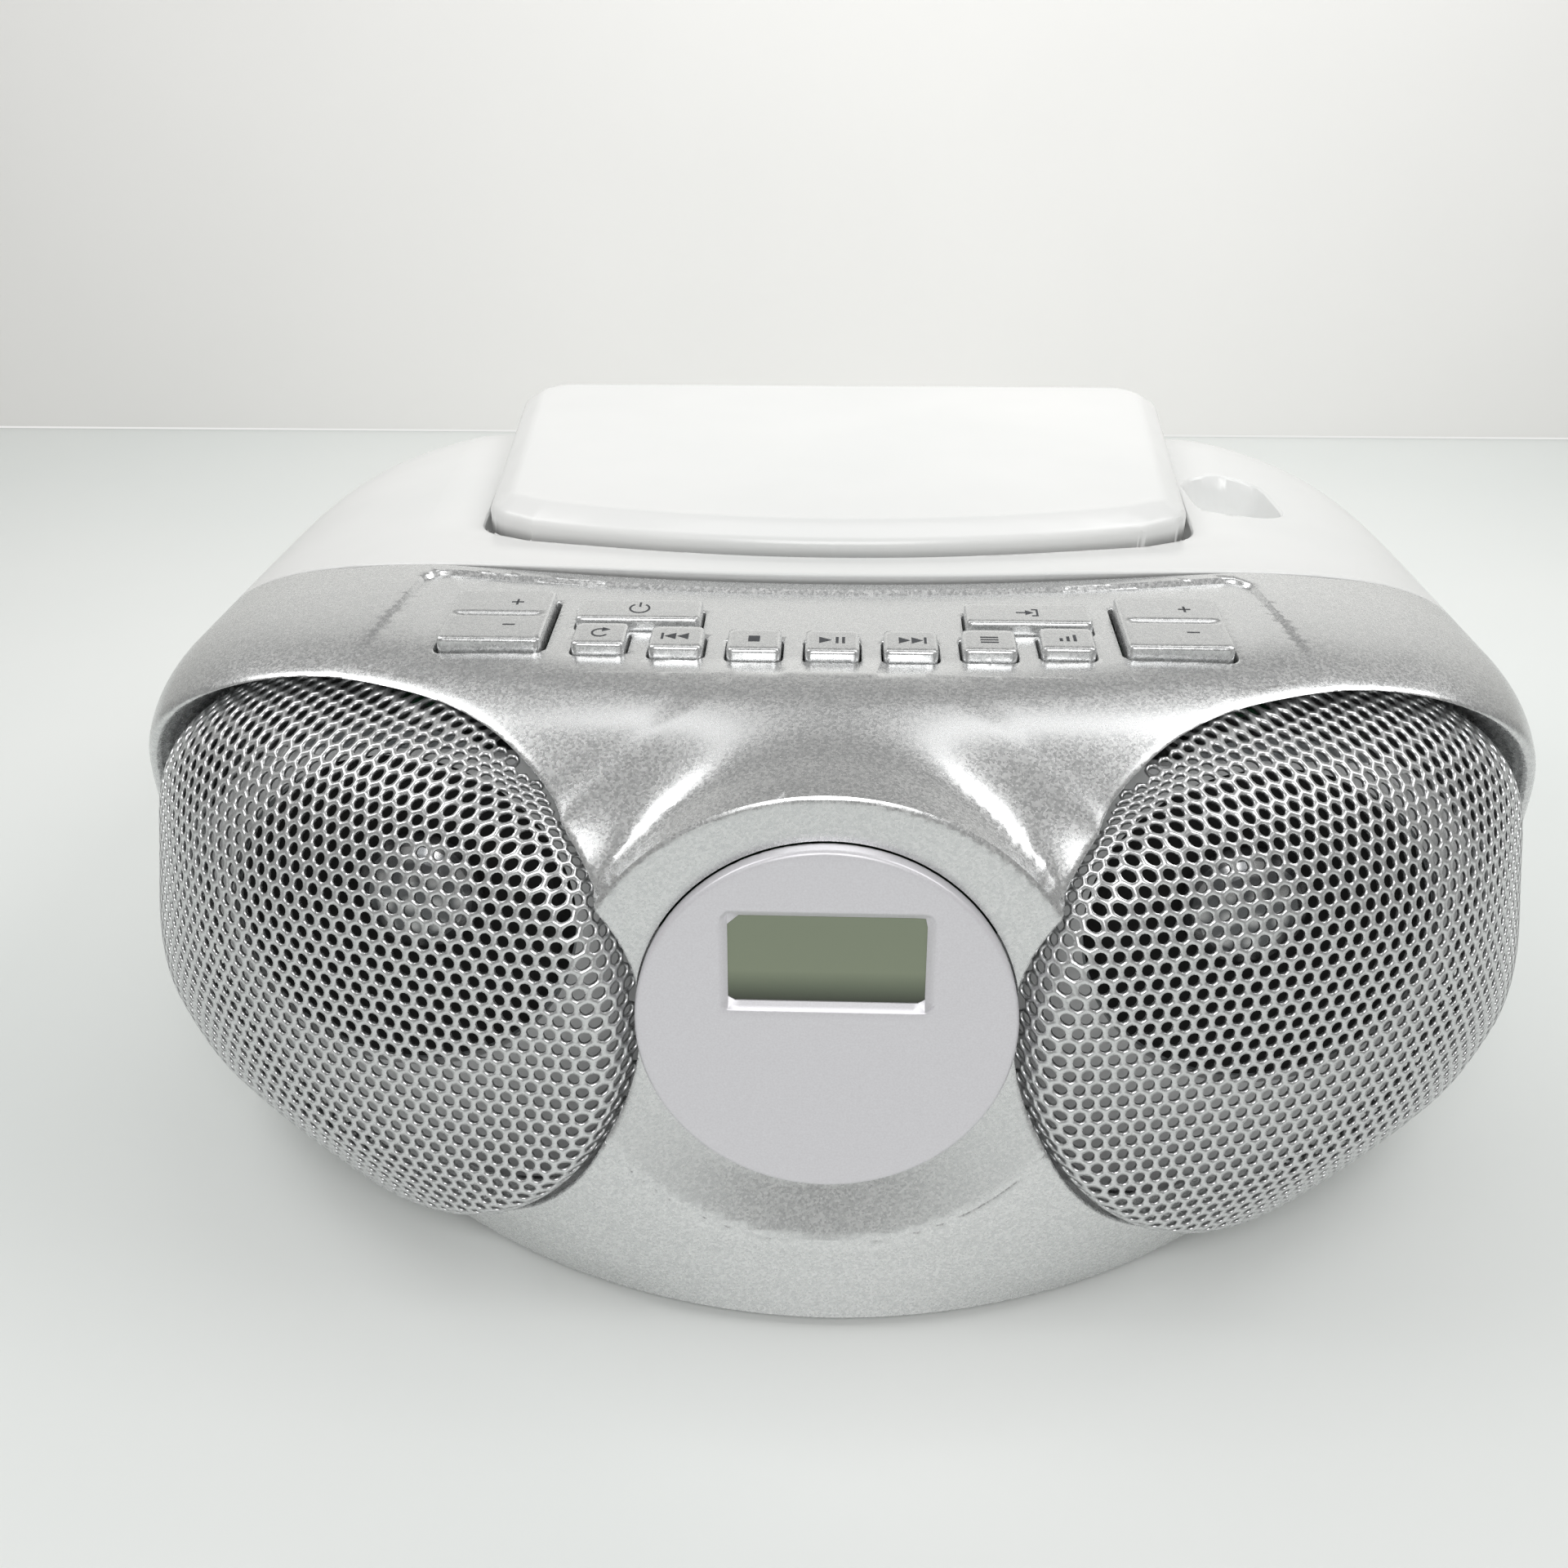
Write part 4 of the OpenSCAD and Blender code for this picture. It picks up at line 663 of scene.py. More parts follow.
def raiseCollar(shell):
    # the collar flares out of the brow to a crest, and a shallow dish falls from it to the disc
    def share(p):
        x, up, out = displayPlace(p)
        return np.where(out > display["behind"], crestShare(x, up), 5.0)
    shell.score(share, (1.05, 1.0, 0.985), snap=0.0004)
    x, up, out = displayPlace(shell.points)
    near = (out > display["behind"]) & (np.abs(x) < display["span"])
    e = np.maximum(crestShare(x, up), 1e-3)
    radius = np.hypot(x, up)
    crestUp = (up + display["crestDrop"]) / e - display["crestDrop"]
    crestRadius = np.hypot(x / e, crestUp)
    inner = display["hole"]
    t = np.clip((radius - inner) / np.maximum(crestRadius - inner, 1.0), 0, 1)
    dish = display["bandInner"] + (crestHeight(crestUp) - display["bandInner"]) * t
    beyond = np.maximum(e - 1, 0) * display["crestMean"]
    height = (up + display["crestDrop"]) / (e * display["crestUp"])
    growth = display["slopeTop"] / display["slopeLow"]
    steep = display["slopeLow"] * np.power(growth, smoothStep(-0.3, 0.9, height))
    flare = crestHeight(crestUp) - steep * beyond - display["slopeBend"] * beyond ** 2
    meeting = 2.0 + 34.0 * smoothStep(-0.1, 0.6, height)
    outside = softMax(out, flare, meeting * np.clip(beyond / 12, 0, 1))
    target = np.where(e < 1, dish, outside)
    # the crest itself is a little rounded
    target -= display["crestSoft"] * np.clip(1 - np.abs(e - 1) * display["crestMean"] / 0.9, 0, 1) ** 2
    fade = (1 - smoothStep(*display["reach"], np.abs(x))) * smoothStep(*display["foot"], shell.points[:, 2])
    push = np.where(near, target - out, 0.0) * np.where(e > 1, fade, 1.0)
    shell.points += push[:, None] * displayOut


def flattenPanel(shell):
    # presses the brow down to the plane of the key strip
    def above(q):
        gap = (q - panelOrigin) @ panelUp
        return np.where(seamDistance(q) > -12, gap, -20.0)
    shell.score(above, (0.9, 0.3, -0.3, -0.9))
    p = shell.points
    gap = above(p)
    reach = 1.1 + 6.0 * smoothStep(84, 112, np.abs(p[:, 0]))
    lowered = -softMax(-gap, np.zeros(len(gap)), reach)
    p += ((lowered - gap) * (gap > -15))[:, None] * panelUp


def panelPlace(p):
    # across, back and up from the front of the key strip
    gap = p - panelOrigin
    return p[:, 0], gap @ panelBack, gap @ panelUp


def recessDistance(p):
    # above zero inside the stepped field round the keys
    x, y, up = panelPlace(p)
    half = panel["width"] / 2 + panel["flare"] * (panel["depth"] - y)
    dx = half - np.abs(x)
    dy = seamDistance(p) - panel["border"]
    c = panel["corner"]
    corner = c - np.hypot(np.maximum(c - dx, 0), np.maximum(c - dy, 0))
    value = np.minimum(np.minimum(dx, dy), np.where((dx < c) & (dy < c), corner, 1e3))
    return np.where((np.abs(up) < 2) & (y > 0.5), value, -20.0)


keys = {"width": 10.2, "depth": 9.0, "pitch": 14.8, "row": 10.0, "arc": 0.001, "gap": 0.4,
        "wideW": 24.5, "wideD": 8.8, "wideX": 38.0, "wideY": 22.5,
        "rockerW": 20.0, "rockerD": 21.5, "rockerX": 65.5, "rockerY": 19.5, "rockerGap": 0.8,
        "corner": 1.2, "fillet": 0.8, "skirt": 3.5, "holeLip": 0.35, "groove": 0.55, "grooveHalf": 0.9,
        "inkRise": 0.03}
smallKeys = ["mode", "previous", "stop", "play_pause", "next", "program", "bass_boost"]
keyPlaces = {}
for index, label in enumerate(smallKeys):
    keyX = (index - 3) * keys["pitch"]
    keyY = keys["row"] + keys["arc"] * keyX ** 2
    keyPlaces[label + "_key"] = (keyX, keyY, keys["width"], keys["depth"], keys["gap"])
for sign, label in ((-1, "power_key"), (1, "source_key")):
    keyPlaces[label] = (sign * keys["wideX"], keys["wideY"], keys["wideW"], keys["wideD"], keys["gap"])
for sign, label in ((-1, "preset_rocker"), (1, "volume_rocker")):
    keyPlaces[label] = (sign * keys["rockerX"], keys["rockerY"], keys["rockerW"], keys["rockerD"],
                        keys["rockerGap"])


def keyHoles(p):
    # below zero in the holes of all keys and rockers
    x, y, up = panelPlace(p)
    best = np.full(len(p), elsewhere)
    for keyX, keyY, width, depth, gap in keyPlaces.values():
        hole = boxDistance(x - keyX, y - keyY, width / 2 + gap, depth / 2 + gap, keys["corner"] + gap)
        best = np.minimum(best, hole)
    return np.where(np.abs(up) < 3, best, elsewhere)


def makeBezel(base):
    shell = Shell(base.points, base.faces)
    openSeam(shell, lambda p: seamDistance(p) - seam["gap"] / 2, "seam")
    flattenPanel(shell)
    raiseCollar(shell)
    # round hole for the display disc
    def discHole(p):
        x, up, out = displayPlace(p)
        return np.where(out > -30, np.hypot(x, up) - display["hole"], 2 * elsewhere)
    shell.trim(discHole, "disc")
    # openings of the two pods, with a lip that widens towards the sides
    shell.score(lambda p: podDistance(p) / podLip(p), (1.0, 0.62, 0.29, 0.076), snap=0.006)
    shell.trim(podDistance, "pod")
    lip = podLip(shell.points)
    sink = lipSink(podDistance(shell.points), lip)
    shell.points += podInward(shell.points) * sink[:, None]
    # stepped field for the keys, then their holes
    shell.score(recessDistance, (panel["ramp"], panel["ramp"] / 2, 0.0))
    x, y, up = panelPlace(shell.points)
    deep = panel["step"] * np.clip(y / panel["depth"], 0, 1)
    ramped = smoothStep(0, panel["ramp"], recessDistance(shell.points)) * deep
    shell.points -= ramped[:, None] * panelUp
    shell.score(keyHoles, lipLevels(keys["holeLip"], 2)[:-1])
    shell.trim(keyHoles, "key")
    shell.points -= lipSink(keyHoles(shell.points), keys["holeLip"])[:, None] * panelUp
    shell.wall("key", lambda p: p - panel["wall"] * panelUp)
    shell.wall("disc", lambda p: p - display["wall"] * displayOut)
    shell.wall("pod", lambda p: p + podInward(p) * pods["wall"])

    def behindSeam(p):
        return p - seam["deep"] * np.stack([p[:, 0] / 180, (p[:, 1] + 100) / 400, (p[:, 2] - 50) / 80], 1)
    shell.wall("seam", behindSeam)
    piece = makePiece("silverFront", shell.points, shell.faces, stuff["silver"])
    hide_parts("front_bezel")
    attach(piece, "cabinet")
    return piece


base = formShell()
print("outer form", len(base.faces))
front = makeBezel(base)
print("silver front", len(front.data.polygons))


# flat plates, for the lid, the well floor, the display disc and the keys
def plateShell(spanX, spanY, step, field, levels, mark="edge"):
    # a flat grid trimmed to field < 0, with extra cuts for whatever is shaped along its edge
    xs = np.arange(spanX[0], spanX[1] + step, step)
    ys = np.arange(spanY[0], spanY[1] + step, step)
    gx, gy = np.meshgrid(xs, ys, indexing="ij")
    points = np.stack([gx.ravel(), gy.ravel(), np.zeros(gx.size)], 1)
    i, j = np.meshgrid(np.arange(len(xs) - 1), np.arange(len(ys) - 1), indexing="ij")
    a = (i * len(ys) + j).ravel()
    b = a + len(ys)
    shell = Shell(points, np.concatenate([np.stack([a, b, b + 1], 1), np.stack([a, b + 1, a + 1], 1)]))
    shell.score(field, levels)
    shell.trim(field, mark, above=False)
    return shell


def toPlace(points, origin, across, along, out):
    return origin + points[:, :1] * across + points[:, 1:2] * along + points[:, 2:] * out


# the lid
lid = {"frontY": 110.0, "backGap": 1.5, "rise": 3.3, "slope": 1.55, "widthFront": 160.0,
       "widthBack": 179.0, "cornerFront": 12.0, "cornerBack": 14.0, "bow": 205.0, "sideBack": 14.0,
       "bevel": 5.5, "bevelSoft": 0.9, "bevelSlope": 0.6,
       "lip": 1.3, "skirt": 99.6, "thick": 2.2, "gap": 0.6, "margin": 1.6, "pocket": 4.5, "sinkIn": 3.2,
       "valley": 1.6, "valleyWide": 15.0, "rimLip": 1.0}
lidFrontY = frontY + lid["frontY"]
lidBackY = backY - lid["backGap"]


def hullOf(points):
    # the convex outline round a set of places
    points = sorted(map(tuple, points))
    halves = []
    for order in (points, points[::-1]):
        half = []
        for q in order:
            while len(half) > 1 and ((half[-1][0] - half[-2][0]) * (q[1] - half[-2][1])
                                     - (half[-1][1] - half[-2][1]) * (q[0] - half[-2][0])) <= 0:
                half.pop()
            half.append(q)
        halves += half[:-1]
    return np.array(halves)


def lidOutline():
    # four round corners, wider at the back, and a bowed front edge
    turn = np.linspace(0, 2 * math.pi, 49)[:-1]
    ring = np.stack([np.cos(turn), np.sin(turn)], 1)
    points = []
    for s in (-1, 1):
        c = lid["cornerFront"]
        points += list(ring * c + (s * (lid["widthFront"] / 2 - c), lidFrontY + lid["sideBack"] + c))
        c = lid["cornerBack"]
        points += list(ring * c + (s * (lid["widthBack"] / 2 - c), lidBackY - c))
    reach = lid["widthFront"] / 2 - lid["cornerFront"]
    for x in np.linspace(-reach, reach, 25):
        points.append((x, lidFrontY + lid["bow"] - math.sqrt(lid["bow"] ** 2 - x * x)))
    return hullOf(points)


lidEdge = lidOutline()


def lidDistance(p, low=85.0):
    near = (p[:, 2] > low) & (np.abs(p[:, 0]) < 112) & (p[:, 1] > -40)
    value = np.full(len(p), 2 * elsewhere)
    value[near] = outlineDistance(p[near, :2], lidEdge)
    return value


def formTop(x, y):
    # height of the outer form over a place in plan
    low, high = np.full(len(x), form["waist"]), np.full(len(x), form["height"])
    for _ in range(30):
        mid = (low + high) / 2
        inside = insideForm(np.stack([x, y, mid], 1), 0.0) < 0
        low, high = np.where(inside, mid, low), np.where(inside, high, mid)
    return low - crownFall(y, low)


def makeLid():
    tilt = math.tan(math.radians(lid["slope"]))
    bevel, soft = lid["bevel"], lid["bevelSoft"]
    levels = [-bevel - soft, -bevel - soft / 2, -bevel, -bevel + soft / 2, -bevel + soft, -3.2]
    levels += [-v for v in lipLevels(lid["lip"])[:-1]]
    shell = plateShell((-92, 92), (-18, 118), 3.0, lambda p: outlineDistance(p[:, :2], lidEdge), levels)
    inside = -outlineDistance(shell.points[:, :2], lidEdge)
    fall = softMax((bevel - inside) * lid["bevelSlope"], np.zeros(len(inside)), soft)
    fall = fall + lipSink(inside, lid["lip"])
    shell.points[:, 2] = form["height"] + lid["rise"] - (shell.points[:, 1] - lidFrontY) * tilt - fall

    def skirt(p):
        deep = lid["sinkIn"] * (1 - smoothStep(70, 95, p[:, 1]))
        foot = formTop(p[:, 0], np.minimum(p[:, 1], backY - 0.5)) + lid["gap"] - deep - lid["valley"]
        return np.stack([p[:, 0], p[:, 1], np.maximum(foot, lid["skirt"])], 1)
    shell.wall("edge", skirt)
    piece = makePiece("discLid", shell.points, shell.faces, stuff["white"], 32)
    giveThickness(piece, lid["thick"])
    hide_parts("cd_lid")
    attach(piece, "lid")


makeLid()
print("lid made")

# the white deck
well = {"y": 50.8, "radius": 62.3, "floor": 97.5, "hub": 17.5, "slotHalf": 9.0, "slotFrom": -11.1,
        "slotTo": 50.0, "slotCorner": 3.0, "lip": 0.6, "thick": 1.4}
scoop = {"x": 97.0, "y": 38.3, "radius": 10.0, "length": 36.0, "floor": 96.0, "ramp": 4.0, "lip": 0.6}
grip = {"half": 50.0, "low": 56.0, "high": 81.0, "depth": 24.0, "corner": 5.0}
hinge = {"rebate": 84.0, "rebateY": 113.4, "rebateZ": 99.0, "x": 36.0, "half": 8.3, "y": 103.5, "z": 94.2}


def scoopDistance(p):
    # the oblong finger scoop beside the lid
    y = np.abs(p[:, 1] - scoop["y"]) - (scoop["length"] / 2 - scoop["radius"])
    value = np.hypot(p[:, 0] - scoop["x"], np.maximum(y, 0)) - scoop["radius"]
    return np.where(p[:, 2] > 90, value, elsewhere)


def hingeCut(p):
    # above zero in the rebate behind the lid and in the notches of its two hinges
    x = np.abs(p[:, 0])
    rebate = np.minimum(p[:, 1] - hinge["rebateY"], p[:, 2] - hinge["rebateZ"])
    rebate = np.minimum(rebate, hinge["rebate"] - x)
    notch = np.minimum(hinge["half"] - np.abs(x - hinge["x"]), p[:, 1] - hinge["y"])
    return np.maximum(rebate, np.minimum(notch, p[:, 2] - hinge["z"]))


def pocketBack(shell, x, z, halfX, halfZ, corner, deep):
    # a recess with straight walls in the flat back
    def rect(p):
        value = boxDistance(p[:, 0] - x, p[:, 2] - z, halfX, halfZ, corner)
        return np.where(p[:, 1] > backY - 1, value, elsewhere)
    s = shell.split(rect(shell.points))
    shell.drop(shell.side(s) < 0, lambda p: np.array([0.0, -deep, 0.0]) * np.ones((len(p), 1)))


def makeDeck(base):
    shell = Shell(base.points, base.faces)
    openSeam(shell, lambda p: -seamDistance(p) - seam["gap"] / 2, "seam")
    shell.trim(lambda p: p[:, 2] - form["seamZ"] - seam["waistGap"], "low")
    # the rim round the lid, in a slight valley
    margin, soft = lid["margin"], lid["rimLip"]
    shell.score(lidDistance, [lid["valleyWide"], 9.0, 5.0] + [margin + v for v in lipLevels(soft, 3)[:-1]])
    s = shell.split(lidDistance(shell.points), margin)
    pocket = shell.side(s) < 0
    distance = lidDistance(shell.points)
    shell.points[:, 2] -= lid["valley"] * (1 - smoothStep(0, lid["valleyWide"], distance))
    onLip = (distance < margin + soft) & (distance >= margin - 0.01)
    shell.points[:, 2] -= lipSink(np.maximum(distance - margin, 0), soft) * onLip

    def pocketPush(p):
        push = np.zeros_like(p)
        push[:, 2] = -lid["pocket"] * (1 - smoothStep(70, 95, p[:, 1]))
        return push
    shell.drop(pocket, pocketPush)
    # finger scoop beside the lid
    shell.score(scoopDistance, [scoop["lip"]] + [-scoop["ramp"] * share for share in (0, 0.25, 0.5, 0.75, 1)])
    depth = smoothStep(-scoop["lip"], scoop["ramp"], -scoopDistance(shell.points))
    shell.points[:, 2] += (scoop["floor"] - shell.points[:, 2]) * depth
    # disc well
    def wellDistance(p):
        radial = np.hypot(p[:, 0], p[:, 1] - well["y"]) - well["radius"]
        return np.where(p[:, 2] > 85, radial, 2 * elsewhere)
    shell.trim(wellDistance, "well")
    shell.trim(hingeCut, "hinge", above=False)
    pocketBack(shell, 0, (grip["low"] + grip["high"]) / 2, grip["half"], (grip["high"] - grip["low"]) / 2,
               grip["corner"], grip["depth"])
    shell.wall("well", lambda p: np.stack([p[:, 0], p[:, 1], np.full(len(p), well["floor"] - 0.5)], 1))

    def hingeFoot(p):
        onTop = p[:, 1] < backY - 0.3
        onFloor = np.abs(p[:, 2] - hinge["rebateZ"]) < 0.15
        atWall = np.abs(p[:, 1] - hinge["rebateY"]) < 0.1
        wallY = np.where(p[:, 2] > hinge["rebateZ"], hinge["rebateY"], hinge["y"])
        y = np.where(onFloor, hinge["rebateY"], np.where(onTop, p[:, 1], wallY))
        z = np.where(onTop & ~onFloor, np.where(atWall, hinge["rebateZ"], hinge["z"]), p[:, 2])
        return np.stack([p[:, 0], y, z], 1)
    shell.wall("hinge", hingeFoot)
    shell.wall("seam", seamInward)
    shell.wall("low", waistInward)
    piece = makePiece("whiteDeck", shell.points, shell.faces, stuff["white"], 25)
    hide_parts("top_deck")
    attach(piece, "cabinet")
    # floor of the well, open for the hub and the pickup
    def floorField(p):
        x, y = p[:, 0], p[:, 1] - well["y"]
        hub = np.hypot(x, y) - well["hub"]
        middle = (well["slotFrom"] + well["slotTo"]) / 2
        half = (well["slotTo"] - well["slotFrom"]) / 2
        slot = boxDistance(x, p[:, 1] - middle, well["slotHalf"], half, well["slotCorner"])
        return np.maximum(np.hypot(x, y) - well["radius"] - 0.5, -np.minimum(hub, slot))
    soft = well["lip"]
    floor = plateShell((-64, 64), (well["y"] - 64, well["y"] + 64), 3.0, floorField, [-2 * soft, -soft])
    inside = -floorField(floor.points)
    floor.points[:, 2] = well["floor"] - lipSink(inside, soft)
    floor.wall("edge", lambda p: p - np.array([0.0, 0.0, well["thick"]]))
    plate = makePiece("wellFloor", floor.points, floor.faces, stuff["well"], 40)
    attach(plate, "cabinet")


makeDeck(base)
print("deck made")

# the rear cabinet and its battery door
cabinet = {"ventPitch": 9.0, "ventHalf": 1.5, "ventCount": 12, "ventLow": 36.5, "ventHigh": 47.0, "wall": 2.4,
           "bayX": 91.0, "bayZ": 33.0, "bayHalfX": 12.0, "bayHalfZ": 11.0, "bayDeep": 17.0, "bayCorner": 1.5,
           "screwX": 100.0, "screwY": (1.3, 57.8), "screwR": 3.0, "screwZ": 30.0}
door = {"half": 77.0, "frontY": 60.3, "top": 18.0, "gap": 0.4, "thick": 2.2,
        "ribs": 5, "ribPitch": 3.2, "ribY": 68.0, "ribReach": 14, "ribHalf": 1.0, "ribDeep": 0.8,
        "bayLow": 4.5, "bayHigh": 32.5, "bayLong": 55}


def ventDistance(p):
    # the row of upright slots in the back
    x, z = p[:, 0], p[:, 2]
    step = cabinet["ventPitch"]
    reach = (cabinet["ventCount"] - 1) / 2 * step
    nearest = np.clip(np.round((x + reach) / step), 0, cabinet["ventCount"] - 1) * step - reach
    half = (cabinet["ventHigh"] - cabinet["ventLow"]) / 2 - cabinet["ventHalf"]
    up = np.maximum(np.abs(z - (cabinet["ventHigh"] + cabinet["ventLow"]) / 2) - half, 0)
    return np.where(p[:, 1] > backY - 1, np.hypot(x - nearest, up) - cabinet["ventHalf"], elsewhere)


def screwDistance(p):
    # the four screw wells in the floor
    best = np.full(len(p), elsewhere)
    for y in cabinet["screwY"]:
        radial = np.hypot(np.abs(p[:, 0]) - cabinet["screwX"], p[:, 1] - y)
        best = np.minimum(best, radial - cabinet["screwR"])
    return np.where(p[:, 2] < 12, best, elsewhere)


def doorField(p):
    # above zero on the door, which wraps from the floor up the back
    plan = np.minimum(door["half"] - np.abs(p[:, 0]), p[:, 1] - door["frontY"])
    return np.minimum(plan, door["top"] - p[:, 2])


def makeCabinet(base):
    shell = Shell(base.points, base.faces)
    openSeam(shell, lambda p: -seamDistance(p) - seam["gap"] / 2, "seam")
    shell.trim(lambda p: form["seamZ"] - seam["waistGap"] - p[:, 2], "low")
    shell.trim(lambda p: doorField(p) + door["gap"], "door", above=False)
    shell.trim(ventDistance, "vent")
    shell.score(screwDistance, (0.4, 0.12))
    shell.trim(screwDistance, "screw")
    for side in (-1, 1):
        pocketBack(shell, side * cabinet["bayX"], cabinet["bayZ"], cabinet["bayHalfX"], cabinet["bayHalfZ"],
                   cabinet["bayCorner"], cabinet["bayDeep"])

    def doorwayInward(p):
        onBack, onFloor = p[:, 1] > backY - 1, p[:, 2] < form["base"] + 0.5
        return p + np.stack([np.zeros(len(p)), -cabinet["wall"] * onBack, cabinet["wall"] * onFloor], 1)
    shell.wall("vent", lambda p: p - np.array([0.0, cabinet["wall"], 0.0]))
    shell.wall("screw", lambda p: np.stack([p[:, 0], p[:, 1], np.full(len(p), cabinet["screwZ"])], 1))
    shell.wall("door", doorwayInward)
    shell.wall("seam", seamInward)
    shell.wall("low", waistInward)
    piece = makePiece("rearCabinet", shell.points, shell.faces, stuff["white"], 35)
    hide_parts("rear_cabinet")
    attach(piece, "cabinet")
    # walls of the battery bay behind the door
    corners = [(side * door["half"], y, z) for side in (-1, 1)
               for y in (door["frontY"], door["frontY"] + door["bayLong"])
               for z in (door["bayLow"], door["bayHigh"])]
    sides = [(0, 1, 5, 4), (1, 3, 7, 5), (0, 2, 3, 1), (4, 5, 7, 6)]
    bay = makePiece("batteryBay", corners, sides, stuff["well"], 30)
    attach(bay, "cabinet")


def makeDoor(base):
    shell = Shell(base.points, base.faces)
    shell.trim(doorField, "edge")
    # shallow finger ribs near its front edge
    def ribField(p):
        y = p[:, 1] - door["ribY"]
        nearest = np.clip(np.round(y / door["ribPitch"]), 0, door["ribs"] - 1) * door["ribPitch"]
        radial = np.hypot(y - nearest, np.maximum(np.abs(p[:, 0]) - door["ribReach"], 0))
        return np.where(p[:, 2] < 4, radial - door["ribHalf"], elsewhere)
    shell.score(ribField, (0.0, -0.5, -0.95))
    deep = np.clip(-ribField(shell.points), 0, 1)
    shell.points[:, 2] += door["ribDeep"] * np.sqrt(np.maximum(0, 1 - (1 - deep) ** 2)) * (deep > 0)
    piece = makePiece("batteryDoor", shell.points, shell.faces, stuff["white"], 35)
    giveThickness(piece, door["thick"])
    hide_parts("battery_door")
    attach(piece, "battery_cover")


makeCabinet(base)
makeDoor(base)
print("cabinet and door made")

# the display disc and its window
disc = {"step": 2.0, "lip": 0.9, "windowX": 17.0, "windowUp": 8.25, "centreUp": 12.5, "bevel": 1.25,
        "deep": 1.3, "corner": 1.3, "paneLap": 0.3, "paneSink": 0.25}
across = np.array([1.0, 0.0, 0.0])


def makeDisplay():
    def rim(p):
        return np.hypot(p[:, 0], p[:, 1]) - display["disc"]

    def window(p):
        return boxDistance(p[:, 0], p[:, 1] - disc["centreUp"], disc["windowX"] + disc["bevel"],
                           disc["windowUp"] + disc["bevel"], disc["corner"] + 0.4)
    shell = plateShell((-35, 35), (-35, 35), disc["step"], rim, [-v for v in lipLevels(disc["lip"])[:-1]])
    shell.score(window, (0.3, 0.0, -disc["bevel"] * 0.5))
    shell.trim(window, "window", level=-disc["bevel"])
    fall = np.clip(0.15 - window(shell.points), 0, disc["bevel"] + 0.15) / (disc["bevel"] + 0.15)
    shell.points[:, 2] = display["proud"] - lipSink(-rim(shell.points), disc["lip"]) - fall * disc["deep"]
    shell.wall("edge", lambda p: p - np.array([0.0, 0.0, 2.4]))
    shell.wall("window", lambda p: p - np.array([0.0, 0.0, 0.5]))
    place = toPlace(shell.points, displayCentre, across, displayUp, displayOut)
    piece = makePiece("displayDisc", place, shell.faces, stuff["pearl"], 30)
    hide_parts("display_panel")
    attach(piece, "cabinet")
    # the pane lies behind the window and reaches a little under its edge

    def paneEdge(p):
        return boxDistance(p[:, 0], p[:, 1] - disc["centreUp"], disc["windowX"] + disc["paneLap"],
                           disc["windowUp"] + disc["paneLap"], 2 * disc["paneLap"])
    glass = plateShell((-18, 18), (disc["centreUp"] - 9.5, disc["centreUp"] + 9.5), 1.5, paneEdge, [])
    glass.points[:, 2] = display["proud"] - disc["deep"] - disc["paneSink"]
    place = toPlace(glass.points, displayCentre, across, displayUp, displayOut)
    pane = makePiece("lcdWindow", place, glass.faces, stuff["lcd"], 30)
    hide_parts("lcd_window")
    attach(pane, "cabinet")


makeDisplay()
print("display made")


# keys, rockers and their printed signs
def bar(x, y, width, height):
    left, right, low, high = x - width / 2, x + width / 2, y - height / 2, y + height / 2
    return [(left, low), (right, low), (right, high), (left, high)]


def arrow(x0, x1, height, y=0.0):
    # a filled triangle with its point at x1
    low, high, tip = (x0, y - height / 2), (x0, y + height / 2), (x1, y)
    return [low, high, tip] if x1 < x0 else [low, tip, high]


def arc(radius, line, start, stop, steps=20):
    turns = np.radians(np.linspace(start, stop, steps + 1))
    inner, outer = radius - line / 2, radius + line / 2
    quads = []
    for a, b in zip(turns[:-1], turns[1:]):
        ends = ((inner, a), (outer, a), (outer, b), (inner, b))
        quads.append([(r * math.cos(t), r * math.sin(t)) for r, t in ends])
    return quads


plusMinus = [bar(3.0, 5.2, 2.4, 0.45), bar(3.0, 5.2, 0.45, 2.4), bar(3.0, -4.6, 2.4, 0.45)]
signs = {
    "power_key": arc(1.9, 0.42, 125, 415) + [bar(0, 1.6, 0.42, 1.9)],
    "source_key": [bar(-1.3, 0, 2.2, 0.42), arrow(-0.6, 1.0, 2.0), bar(1.7, 0, 0.42, 3.0),
                   bar(1.1, 1.3, 0.9, 0.42), bar(1.1, -1.3, 0.9, 0.42)],
    "mode_key": arc(1.5, 0.42, 60, 330) + [arrow(0.3, 1.9, 1.7, 1.35)],
    "previous_key": [bar(-2.7, 0, 0.5, 2.5), arrow(-0.1, -2.3, 2.5), arrow(2.3, 0.1, 2.5)],
    "stop_key": [bar(0, 0, 2.2, 2.3)],
    "play_pause_key": [arrow(-2.5, -0.1, 2.5), bar(0.9, 0, 0.55, 2.5), bar(2.1, 0, 0.55, 2.5)],
    "next_key": [arrow(-2.3, -0.1, 2.5), arrow(0.1, 2.3, 2.5), bar(2.7, 0, 0.5, 2.5)],
    "program_key": [bar(0, y, 3.4, 0.45) for y in (1.0, 0, -1.0)],
    "bass_boost_key": [bar(-1.3, -0.7, 0.6, 1.2), bar(0, -0.35, 0.6, 1.9), bar(1.3, 0.0, 0.6, 2.6)],
    "preset_rocker": plusMinus,
    "volume_rocker": plusMinus,
}


